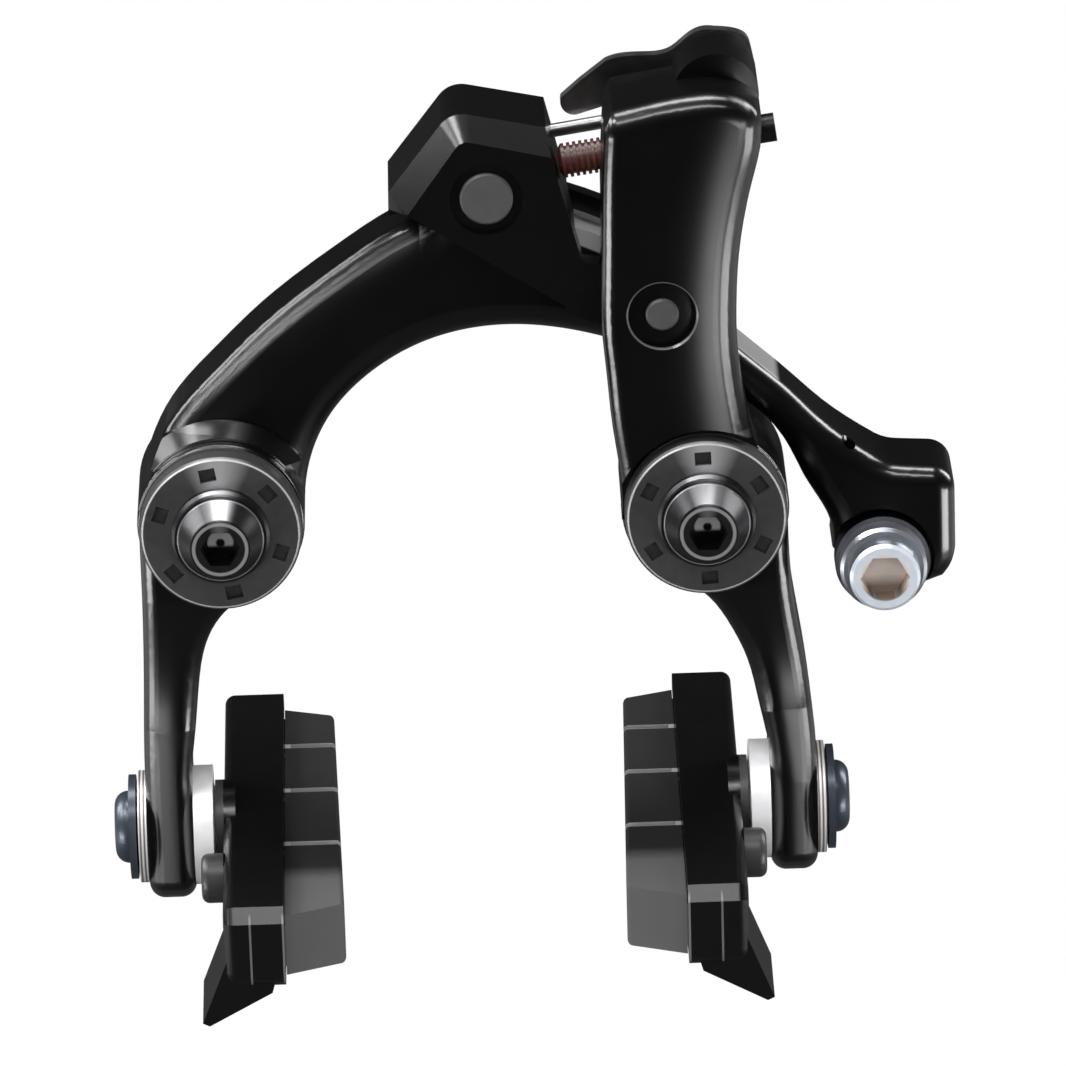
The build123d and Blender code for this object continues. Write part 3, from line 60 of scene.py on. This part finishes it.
# Pivot bushes with their thrust washers and the sleeves in the arms: the bearing of each arm.
# Turned steel tubes, ground where they run, with fine turning rings on the flange that sits on
# the frame's boss.
class Signal:
    """A shader socket. + - * / and ** with another signal or a number add Math nodes."""

    def __init__(self, finish, socket):
        self.finish = finish
        self.socket = socket

    def combine(self, operation, first, second=0.0):
        return self.finish.add("ShaderNodeMath", {"operation": operation}, {0: first, 1: second})

    def __add__(self, other):
        return self.combine("ADD", self, other)

    def __radd__(self, other):
        return self.combine("ADD", other, self)

    def __sub__(self, other):
        return self.combine("SUBTRACT", self, other)

    def __rsub__(self, other):
        return self.combine("SUBTRACT", other, self)

    def __mul__(self, other):
        return self.combine("MULTIPLY", self, other)

    def __rmul__(self, other):
        return self.combine("MULTIPLY", other, self)

    def __truediv__(self, other):
        return self.combine("DIVIDE", self, other)

    def __rtruediv__(self, other):
        return self.combine("DIVIDE", other, self)

    def __pow__(self, other):
        return self.combine("POWER", self, other)

    def size(self):
        """The value without its sign."""
        return self.combine("ABSOLUTE", self)

    def sine(self):
        return self.combine("SINE", self)

    def past(self, start):
        """How far the value lies past a start, and 0 before it."""
        return self.combine("MAXIMUM", self - start)

    def between(self, low, high, ramp="LINEAR"):
        """0 below low, 1 above high, and a straight or soft ramp from one to the other."""
        settings = {"interpolation_type": ramp}
        return self.finish.add("ShaderNodeMapRange", settings, {0: self, 1: low, 2: high})

    def above(self, level, blur=0.0001):
        """1 above a level, fading to 0 over a blur below it."""
        return self.between(level - blur, level)

    def below(self, level, blur=0.0001):
        """1 below a level, fading to 0 over a blur above it."""
        return 1 - self.between(level, level + blur)

    def band(self, low, high, blur=0.0001):
        """1 from low to high, fading to 0 over a blur on each side."""
        return self.above(low, blur) * self.below(high, blur)


class Finish:
    """One material: add() makes a node of any type, and surface() feeds the shader."""

    def __init__(self, name):
        self.material = bpy.data.materials.new(name)
        self.material.use_nodes = True
        self.tree = self.material.node_tree
        self.shader = self.tree.nodes["Principled BSDF"]

    def add(self, kind, settings=(), sockets=(), out=0):
        node = self.tree.nodes.new(kind)
        for name, value in dict(settings).items():
            setattr(node, name, value)
        for name, value in dict(sockets).items():
            self.feed(node.inputs[name], value)
        return Signal(self, node.outputs[out])

    def feed(self, socket, value):
        if isinstance(value, Signal):
            self.tree.links.new(value.socket, socket)
        else:
            socket.default_value = value

    def point(self):
        """Object coordinates, which are the caliper's own frame for every piece."""
        return self.add("ShaderNodeTexCoord", out="Object")

    def place(self):
        """The point in metres: x to the right, y to the back, z up."""
        split = self.add("ShaderNodeSeparateXYZ", {}, {0: self.point()})
        return [Signal(self, output) for output in split.socket.node.outputs]

    def noise(self, scale, detail=3.0):
        sockets = {"Vector": self.point(), "Scale": scale, "Detail": detail}
        return self.add("ShaderNodeTexNoise", {}, sockets)

    def blend(self, factor, first, second):
        """The first colour where the factor is 0 and the second where it is 1."""
        first, second = (c if isinstance(c, Signal) else (*c, 1) for c in (first, second))
        return self.add("ShaderNodeMix", {"data_type": "RGBA"}, {0: factor, 6: first, 7: second}, out=2)

    def bump(self, height, distance, strength):
        sockets = {"Height": height, "Distance": distance, "Strength": strength}
        return self.add("ShaderNodeBump", {}, sockets)

    def surface(self, **sockets):
        """Feeds the shader's sockets, each named in lower case with _ for a space."""
        for name, value in sockets.items():
            socket = next(s for s in self.shader.inputs if s.name.lower() == name.replace("_", " "))
            self.feed(socket, (*value, 1) if isinstance(value, tuple) else value)
        return self.material


def dress(material, *nodes):
    """Gives CAD nodes a material in all their slots."""
    for name in nodes:
        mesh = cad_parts[name].data
        mesh.materials.clear()
        mesh.materials.append(material)


def reach(across, up):
    """Distance from an axis, from the two distances square to it."""
    return (across ** 2 + up ** 2) ** 0.5


boss_x = 0.028
turning_pitch = 0.00015
bearing = Finish("bearing_steel")
x, _, z = bearing.place()
turning = (reach(x.size() - boss_x, z) * (2 * math.pi / turning_pitch)).sine()
bearing_cloud = bearing.noise(scale=700)
bearing_steel = bearing.surface(
    base_color=bearing.blend(bearing_cloud, (0.42, 0.42, 0.43), (0.5, 0.5, 0.51)),
    metallic=1.0,
    roughness=0.26 + bearing_cloud * 0.1,
    normal=bearing.bump(turning, distance=0.00001, strength=0.25),
)
dress(bearing_steel, "pivot_bush_left", "pivot_bush_right", "rear_washer_left", "rear_washer_right",
      "hub_sleeve_left", "hub_sleeve_right")

# Return springs inside the hubs, which open the arms when the cable is let go: oil-tempered
# wire, wound cold, with its dark drawn skin.
coil = Finish("spring_wire")
coil_skin = coil.noise(scale=1400)
spring_wire = coil.surface(
    base_color=coil.blend(coil_skin, (0.10, 0.10, 0.105), (0.2, 0.2, 0.205)),
    metallic=1.0,
    roughness=0.3 + coil_skin * 0.12,
)
dress(spring_wire, "return_spring_left", "return_spring_right")


# Left arm: forged aluminium, blacked and polished under a clear hard coat, with a patch along the
# top of its right half coloured pale grey, half metallic and without coat. The face of the arch
# rolls off towards its outer edge and the leg has a soft ridge, so pale reflections run along them
# while the rest stays almost black.
def forged_black(finish, roll, pale_mark):
    """Black under a clear coat. roll is how far the forged face falls away, in metres, and pale_mark is
    1 where the face is coloured pale grey, half metallic and without coat; on the right arm this marks
    a painted highlight."""
    cloud = finish.noise(scale=160)
    black = finish.blend(cloud, (0.0008, 0.0008, 0.0009), (0.0014, 0.0014, 0.0016))
    return finish.surface(
        base_color=finish.blend(pale_mark, black, (0.3, 0.3, 0.305)),
        metallic=pale_mark * 0.6,
        roughness=0.26 + cloud * 0.05 + pale_mark * 0.15,
        specular_ior_level=0.25,
        coat_weight=(0.5 + cloud * 0.1) * (1 - pale_mark),
        coat_roughness=0.17,
        normal=finish.bump(roll * -1.0, distance=1.0, strength=1.0),
    )


leg_slope = 0.42
leg_start = (-0.026, -0.006)


def leg_ridge(across, z, softness):
    """A height that grows with the distance across the leg, rounded along the ridge itself, and
    fades out towards the hub."""
    return reach(across, softness) * leg_slope * (1 - z.between(*leg_start, ramp="SMOOTHSTEP"))


left = Finish("left_arm_black")
x, y, z = left.place()
track_x = -0.0006
track_z = -0.0056
from_track = reach(x - track_x, z - track_z)

# The roll of the arch's face starts a fixed way inside its outer edge, which leaves a circle
# round the track's centre on both sides of narrow_x.
narrow_x = -0.024
narrow_radius = 0.0354
edge_spread = 11.8
arch_roll_width = 0.0075
arch_roll_curve = 66.0
hub_top = (0.002, 0.010)
block_foot = (-0.004, 0.0)
outer_edge = narrow_radius + (x - narrow_x) ** 2 * edge_spread
arch_roll = (from_track - outer_edge).past(-arch_roll_width) ** 2 * arch_roll_curve
arch_roll = arch_roll * z.between(*hub_top) * (1 - x.between(*block_foot))

left_ridge_x = -0.0335
left_ridge = leg_ridge((left_ridge_x - x).past(0.0), z, softness=0.0014)

# A patch along the top of the arch's right half, clear of the guide ridge, is coloured pale grey, half
# metallic and without coat.
pale_patch_x = (0.0118, 0.0366)
pale_patch_radius = 0.0388
pale_patch_front = -0.0092
guide_radius = 0.0411
guide_rise = 0.003
guide_rise_x = (0.020, 0.022)
guide = (from_track - x.between(*guide_rise_x) * guide_rise).above(guide_radius)
pale_patch = from_track.above(pale_patch_radius, blur=0.0002) * (1 - guide)
pale_patch = pale_patch * x.band(*pale_patch_x, blur=0.0006) * y.above(pale_patch_front, blur=0.0002)
dress(forged_black(left, arch_roll + left_ridge, pale_patch), "left_arm")

# Right arm: the same forging and coat. The upright is flat on the left and rolls off softly
# towards its waisted right edge, its leg is ridged, and a thin highlight is painted pale round
# the rim of the link pin's recess.
right = Finish("right_arm_black")
x, y, z = right.place()
waist_x = 0.03205
waist_z = 0.0225
waist_spread = 7.3
upright_roll_width = 0.0095
upright_roll_curve = 30.0
waist_edge = waist_x + (z - waist_z) ** 2 * waist_spread
upright_roll = (x - waist_edge).past(-upright_roll_width) ** 2 * upright_roll_curve
upright_roll = upright_roll * z.between(*hub_top)

eye_ridge_x = 0.0368
ridge_lean = 0.003
ridge_lean_z = (-0.035, -0.010)
right_ridge_x = eye_ridge_x - z.between(*ridge_lean_z) * ridge_lean
right_ridge = leg_ridge(x - right_ridge_x, z, softness=0.001)

link_pin_x = 0.0235
link_pin_z = 0.0245
recess_rim = (0.0039, 0.00405)
upright_face_y = -0.0189
rim_highlight_strength = 0.35
# Painted highlight: a thin pale ring round the link pin's recess, on the upright's face.
from_pin = reach(x - link_pin_x, z - link_pin_z)
painted_rim_highlight = from_pin.band(*recess_rim) * y.below(upright_face_y, blur=0.0002) * rim_highlight_strength
dress(forged_black(right, upright_roll + right_ridge, painted_rim_highlight), "right_arm")


# Ring nuts, which take up the play, and the thin washers behind them: steel, turned and blacked,
# with a thin highlight painted pale near the rim and a painted highlight streak up the face.
def upper_streak(across, up):
    """1 where a painted highlight runs up a turned face above its axis, fading to each side."""
    return (across / up).size().below(0.08, blur=0.42) * up.above(0.001, blur=0.001)


nut_rim = (0.00895, 0.0091)
pocket_inner = 0.0062
pocket_y = -0.0195
streak_shift = 0.0002
nut = Finish("blacked_steel")
x, y, z = nut.place()
from_axis = reach(x.size() - boss_x, z)
# Painted highlights: a thin pale ring near the rim and a pale streak up the face above the axis. The
# pockets stay plain dark.
nut_rim_highlight = from_axis.band(*nut_rim, blur=0.00005)
pocket = y.above(pocket_y, blur=0.0002) * from_axis.above(pocket_inner, blur=0.0002)
painted_streak = upper_streak(x.size() - boss_x - streak_shift, z)
nut_cloud = nut.noise(scale=900)
nut_face = nut.blend(nut_cloud, (0.022, 0.022, 0.023), (0.034, 0.034, 0.035))
nut_face = nut.blend(painted_streak * 0.8, nut_face, (0.24, 0.24, 0.245))
nut_face = nut.blend(pocket, nut_face, (0.03, 0.03, 0.03))
blacked = nut.surface(
    base_color=nut.blend(nut_rim_highlight, nut_face, (0.3, 0.3, 0.305)),
    metallic=0.25,
    roughness=0.36 + nut_cloud * 0.1,
)
dress(blacked, "ring_nut_left", "ring_nut_right", "front_washer_left", "front_washer_right")

# Mounting bolts with their washers: turned steel with a grey satin cone, and painted highlights:
# a bright ring broken round the socket, a fine one round the flange, a glint on the socket's
# floor and a streak up the cone.
socket_edge = (0.0029, 0.0032)
flange_edge = (0.0049, 0.0050)
glint_ring = (0.0006, 0.0014)
glint_y = -0.0264
glint_z = (-0.0006, -0.0002)
bolt = Finish("bolt_steel")
x, y, z = bolt.place()
from_axis = reach(x.size() - boss_x, z)
# Painted highlights: rings round the socket and the flange, a glint on the socket's floor and a streak
# up the cone.
socket_highlight = from_axis.band(*socket_edge)
flange_highlight = from_axis.band(*flange_edge, blur=0.00005)
painted_glint = from_axis.band(*glint_ring, blur=0.0002) * y.above(glint_y, blur=0.0002) * z.between(*glint_z)
painted_highlights = (socket_highlight * 0.7 + flange_highlight * 0.6 + painted_glint).between(0.0, 1.0)
painted_streak = upper_streak(x.size() - boss_x, z)
bolt_cloud = bolt.noise(scale=1000)
cone_grey = bolt.blend(bolt_cloud, (0.04, 0.04, 0.042), (0.06, 0.06, 0.062))
cone_grey = bolt.blend(painted_streak * 0.7, cone_grey, (0.45, 0.45, 0.46))
bolt_steel = bolt.surface(
    base_color=bolt.blend(painted_highlights, cone_grey, (0.5, 0.5, 0.51)),
    metallic=1.0 - painted_highlights * 0.3,
    roughness=0.36 + bolt_cloud * 0.06,
)
dress(bolt_steel, "mounting_bolts", "bolt_washers")

# Cable clamp on the left arm's tail: a blacked steel plate whose turned collar is bright, and the
# anchor bolt that draws it down, stainless with a bluish sheen and a socket that has gone tan,
# with painted shade turning it brown towards its bottom.
collar_y = -0.0143
plate = Finish("clamp_plate_steel")
_, y, _ = plate.place()
collar = y.below(collar_y, blur=0.0002)
plate_cloud = plate.noise(scale=900)
plate_steel = plate.surface(
    base_color=plate.blend(collar, (0.012, 0.012, 0.014), (0.5, 0.52, 0.57)),
    metallic=0.95,
    roughness=0.26 + plate_cloud * 0.08,
)
dress(plate_steel, "clamp_plate")

clamp_x = 0.0485
clamp_z = -0.0082
anchor_face_y = -0.0194
anchor_socket_r = 0.0027
socket_painted_shade_z = (-0.0100, -0.0086)
anchor = Finish("anchor_bolt_steel")
x, y, z = anchor.place()
in_socket = reach(x - clamp_x, z - clamp_z).below(anchor_socket_r, blur=0.0002)
on_face = y.below(anchor_face_y, blur=0.0002)
anchor_cloud = anchor.noise(scale=800)
anchor_blue = anchor.blend(anchor_cloud, (0.5, 0.54, 0.6), (0.6, 0.64, 0.7))
# Painted shade: the tan socket turns dark brown towards its bottom.
socket_tan = anchor.blend(z.between(*socket_painted_shade_z), (0.2, 0.15, 0.12), (0.6, 0.52, 0.48))
anchor_steel = anchor.surface(
    base_color=anchor.blend(in_socket, anchor_blue, socket_tan),
    metallic=1.0 - (on_face + in_socket).between(0.0, 1.0) * 0.55,
    roughness=0.26 + anchor_cloud * 0.08,
)
dress(anchor_steel, "clamp_bolt")


# Link block between the arms, and the shoes' cartridge holders: aluminium, milled and bevelled,
# with a finer, drier black coat than the arms have. Fine highlights are painted pale along edges.
def satin_black(name, painted_edges):
    """Finely blasted black; painted_edges(x, y, z) is 1 where a highlight is painted along an edge."""
    satin = Finish(name)
    cloud = satin.noise(scale=300)
    grain = satin.noise(scale=3200, detail=2.0)
    black = satin.blend(cloud, (0.001, 0.001, 0.0011), (0.002, 0.002, 0.0022))
    return satin.surface(
        base_color=satin.blend(painted_edges(*satin.place()), black, (0.22, 0.22, 0.225)),
        roughness=0.22 + grain * 0.06,
        specular_ior_level=0.5,
        normal=satin.bump(grain, distance=0.00001, strength=0.12),
    )


bevel_x = -0.00615
bevel_z = 0.0342
bevel_lean = math.radians(32.7)
block_face_y = -0.0183


def block_edge_highlight(x, y, z):
    """A fine painted highlight where the block's left bevel meets its face."""
    from_bevel = (x - bevel_x) * math.cos(bevel_lean) - (z - bevel_z) * math.sin(bevel_lean)
    return from_bevel.size().below(0.0001) * y.below(block_face_y, blur=0.0002) * 0.5


shoe_x = {"left": -0.0327, "right": 0.0349}
shoe_z = {"left": -0.040, "right": -0.039}
shoe_bolt_y = -0.010
shoe_pitch = math.radians(6.8)
holder_outside = 0.0035
seam_depth = 0.0031
open_edge_depth = 0.0068
fin_top = -0.0094
near_end = 0.027


def along_shoe(x, y, z, side):
    """How far a point lies in front of the shoe's bolt, along the pitched holder."""
    return (y - shoe_bolt_y) * -math.cos(shoe_pitch) - (z - shoe_z[side]) * math.sin(shoe_pitch)


def holder_edge_highlights(side):
    """Painted highlights on one holder: a line down the seam at its near end and a fine line along its
    open edge.
    """
    def painted_edges(x, y, z):
        depth = (x - shoe_x[side]).size() - holder_outside
        seam = (depth - seam_depth).size().below(0.00008, blur=0.00007)
        open_edge = depth.above(open_edge_depth, blur=0.00005)
        above_fin = (z - shoe_z[side]).above(fin_top, blur=0.0002)
        at_end = along_shoe(x, y, z, side).above(near_end, blur=0.0005)
        return (seam * 0.35 + open_edge * 0.4) * above_fin * at_end
    return painted_edges


dress(satin_black("block_black", block_edge_highlight), "link_block")
for side in shoe_x:
    dress(satin_black(f"holder_black_{side}", holder_edge_highlights(side)), f"shoe_holder_{side}")

# Roller pin and link pin, pressed in from the front: steel, with grey satin ends in their round
# recesses. The roller on the first is hardened and blacked.
pin = Finish("pin_grey")
pin_cloud = pin.noise(scale=1300)
pin_grey = pin.surface(
    base_color=pin.blend(pin_cloud, (0.05, 0.05, 0.05), (0.07, 0.07, 0.07)),
    metallic=0.5,
    roughness=0.45 + pin_cloud * 0.1,
)
dress(pin_grey, "roller_axle", "link_pin")
dress(blacked, "roller")

# Link spring, the pressed plate over its cup and the plate's screw: steel wire, sheet and rod,
# all with the same cloudy zinc plating.
zinc = Finish("zinc_plate")
zinc_cloud = zinc.noise(scale=600)
zinc_plate = zinc.surface(
    base_color=zinc.blend(zinc_cloud, (0.2, 0.2, 0.205), (0.3, 0.3, 0.305)),
    metallic=1.0,
    roughness=0.28 + zinc_cloud * 0.12,
)
dress(zinc_plate, "link_spring", "spring_plate", "plate_screw")

# Centring screw, which sets how the two shoes stand to the rim: dark steel, with red-brown
# thread-lock on the thread near its tip.
lock_end = 0.0168
screw = Finish("thread_lock")
x, _, _ = screw.place()
coated = x.below(lock_end, blur=0.0007)
screw_cloud = screw.noise(scale=1500)
lock_red = screw.blend(screw_cloud, (0.025, 0.006, 0.004), (0.06, 0.017, 0.012))
screw_red = screw.surface(
    base_color=screw.blend(coated, (0.02, 0.02, 0.021), lock_red),
    metallic=0.9 - coated * 0.9,
    roughness=0.32 + screw_cloud * 0.15,
)
dress(screw_red, "centering_screw")

# Shoe spacers on the legs' inner faces and cup washers on the outer ones: turned stainless,
# satin, each with one low dome. Fine dark turned lines run round the cup washers' edges.
line_pitch = 0.000449
cup_washer_from = 0.0376
washer = Finish("washer_steel")
x, _, _ = washer.place()
washer_cloud = washer.noise(scale=500)
lines = (x * (2 * math.pi / line_pitch)).sine() * 0.5 + 0.5
lines = lines * x.size().above(cup_washer_from)
stainless = washer.blend(washer_cloud, (0.72, 0.72, 0.73), (0.85, 0.85, 0.86))
washer_steel = washer.surface(
    base_color=washer.blend(lines, stainless, (0.1, 0.08, 0.07)),
    metallic=0.6,
    roughness=0.42 + washer_cloud * 0.08,
)
dress(washer_steel, "shoe_spacer_left", "shoe_spacer_right", "cup_washer_left", "cup_washer_right")

# Hollow washers that tilt on the spacers' domes, and the small screws that keep the pads in:
# turned steel, blacked as the ring nuts are.
dress(blacked, "ball_washer_left", "ball_washer_right", "pad_screw_left", "pad_screw_right")

# Shoe bolts with domed heads, and the hollow washers under the heads, which tilt on the cup
# washers: steel, blued by heat after turning.
blue = Finish("blued_steel")
blue_cloud = blue.noise(scale=700)
blued = blue.surface(
    base_color=blue.blend(blue_cloud, (0.035, 0.042, 0.055), (0.05, 0.06, 0.078)),
    metallic=0.5,
    roughness=0.27 + blue_cloud * 0.1,
)
dress(blued, "shoe_bolt_left", "shoe_bolt_right", "dome_washer_left", "dome_washer_right")

# Pads, which slide into the holders from the back: moulded rubber, nearly black and matt, with
# painted light making them paler on the slope at the near end and painted highlights along the
# lips of the grooves.
groove_places = (0.0091, 0.0200, 0.0329)
groove_half = 0.00042
pad_far_end = -0.025
slope_start = (0.0135, 0.0165)
for side in shoe_x:
    pad = Finish(f"pad_rubber_{side}")
    along = along_shoe(*pad.place(), side)
    from_far_end = along - pad_far_end
    # Painted highlights: pale lines along the lips of the grooves.
    groove_highlights = [(from_far_end - place).size().below(groove_half, blur=0.00008) for place in groove_places]
    pad_grain = pad.noise(scale=1500)
    pad_speck = pad.noise(scale=6000, detail=1.0)
    pad_face = pad.blend(pad_grain, (0.005, 0.005, 0.0053), (0.009, 0.009, 0.0093))
    # Painted light: the slope at the near end is coloured paler, as if it were lit more.
    pad_face = pad.blend(along.between(*slope_start), pad_face, (0.06, 0.06, 0.061))
    rubber = pad.surface(
        base_color=pad.blend(sum(groove_highlights) * 0.9, pad_face, (0.2, 0.2, 0.2)),
        roughness=0.6 + pad_grain * 0.1,
        specular_ior_level=0.2,
        normal=pad.bump(pad_grain + pad_speck * 0.5, distance=0.00004, strength=0.3),
    )
    dress(rubber, f"brake_pad_{side}")

# The studio's floor: a pale sheet that reads as white to the camera beyond the caliper's shadow.
# In the caliper's own reflections its middle is dark, so the black faces stay black, and its
# sides are pale.
floor_drop = 0.25
floor_front = -0.6
floor_half = 6.0
pale_sides = (0.3, 0.62)
shadow_reach = (0.3, 0.45)
pale = (0.6, 0.6, 0.6)
dark = (0.03, 0.03, 0.03)
floor_mesh = bpy.data.meshes.new("floor")
floor_mesh.from_pydata(
    [(-floor_half, floor_front, -floor_drop), (floor_half, floor_front, -floor_drop),
     (floor_half, floor_half, -floor_drop), (-floor_half, floor_half, -floor_drop)],
    [],
    [(0, 1, 2, 3)],
)
floor = bpy.data.objects.new("floor", floor_mesh)
bpy.context.scene.collection.objects.link(floor)
sweep = Finish("floor_white")
x, y, _ = sweep.place()
seen = sweep.add("ShaderNodeLightPath", out="Is Camera Ray")
mirrored = sweep.blend(x.size().between(*pale_sides), dark, pale)
sweep.surface(base_color=sweep.blend(seen, mirrored, pale), roughness=0.9)
white = sweep.add("ShaderNodeEmission", {}, {"Color": (1, 1, 1, 1), "Strength": 1.0})
shaded = Signal(sweep, sweep.shader.outputs[0])
far = reach(x, y).between(*shadow_reach)
both = sweep.add("ShaderNodeMixShader", {}, {0: seen * far, 1: shaded, 2: white})
sweep.feed(sweep.tree.nodes["Material Output"].inputs[0], both)
floor_mesh.materials.append(sweep.material)

# The room: white to the camera, and a faint glow to everything else.
room_glow = 0.02
white_to_camera = 1.0
world = bpy.data.worlds.new("studio")
bpy.context.scene.world = world
world.use_nodes = True
room = world.node_tree
room_light = room.nodes["Background"]
room_light.inputs["Color"].default_value = (1, 1, 1, 1)
ray = room.nodes.new("ShaderNodeLightPath")
level = room.nodes.new("ShaderNodeMapRange")
level.inputs["To Min"].default_value = room_glow
level.inputs["To Max"].default_value = white_to_camera
room.links.new(ray.outputs["Is Camera Ray"], level.inputs["Value"])
room.links.new(level.outputs["Result"], room_light.inputs["Strength"])


# The lamps, in metres and watts: low ones for the bright lines down the upright edges, high ones
# for those on the arch, the legs, the bevels and the top edges, and a big weak one behind the
# camera, which nothing mirrors and which only lifts the matt pieces.
def soft_box(name, place, width, height, power, mirrored=True):
    """A rectangular lamp at a place, facing the caliper."""
    light = bpy.data.lights.new(name, "AREA")
    light.shape = "RECTANGLE"
    light.size = width
    light.size_y = height
    light.energy = power
    lamp = bpy.data.objects.new(name, light)
    lamp.location = place
    lamp.rotation_euler = (-Vector(place)).to_track_quat("-Z", "Y").to_euler()
    lamp.visible_glossy = mirrored
    bpy.context.scene.collection.objects.link(lamp)


soft_box("low_left", (-0.50, -0.315, -0.18), 0.4, 0.13, 2.6)
soft_box("low_right", (0.50, -0.315, -0.18), 0.4, 0.13, 2.6)
soft_box("high_left", (-0.61, 0.25, 0.35), 0.22, 0.5, 5)
soft_box("high_right", (0.61, 0.25, 0.35), 0.22, 0.5, 5)
soft_box("left_wash", (-0.74, -0.08, 0.60), 0.3, 0.3, 5)
soft_box("overhead", (0.0, 0.12, 0.85), 0.5, 0.25, 6)
soft_box("key_box", (-0.36, -0.25, 0.68), 0.2, 0.2, 3)
soft_box("front_top", (0.0, -0.55, 0.82), 0.5, 0.14, 3)
soft_box("front_fill", (0.0, -1.2, 0.5), 1.2, 0.8, 16, mirrored=False)
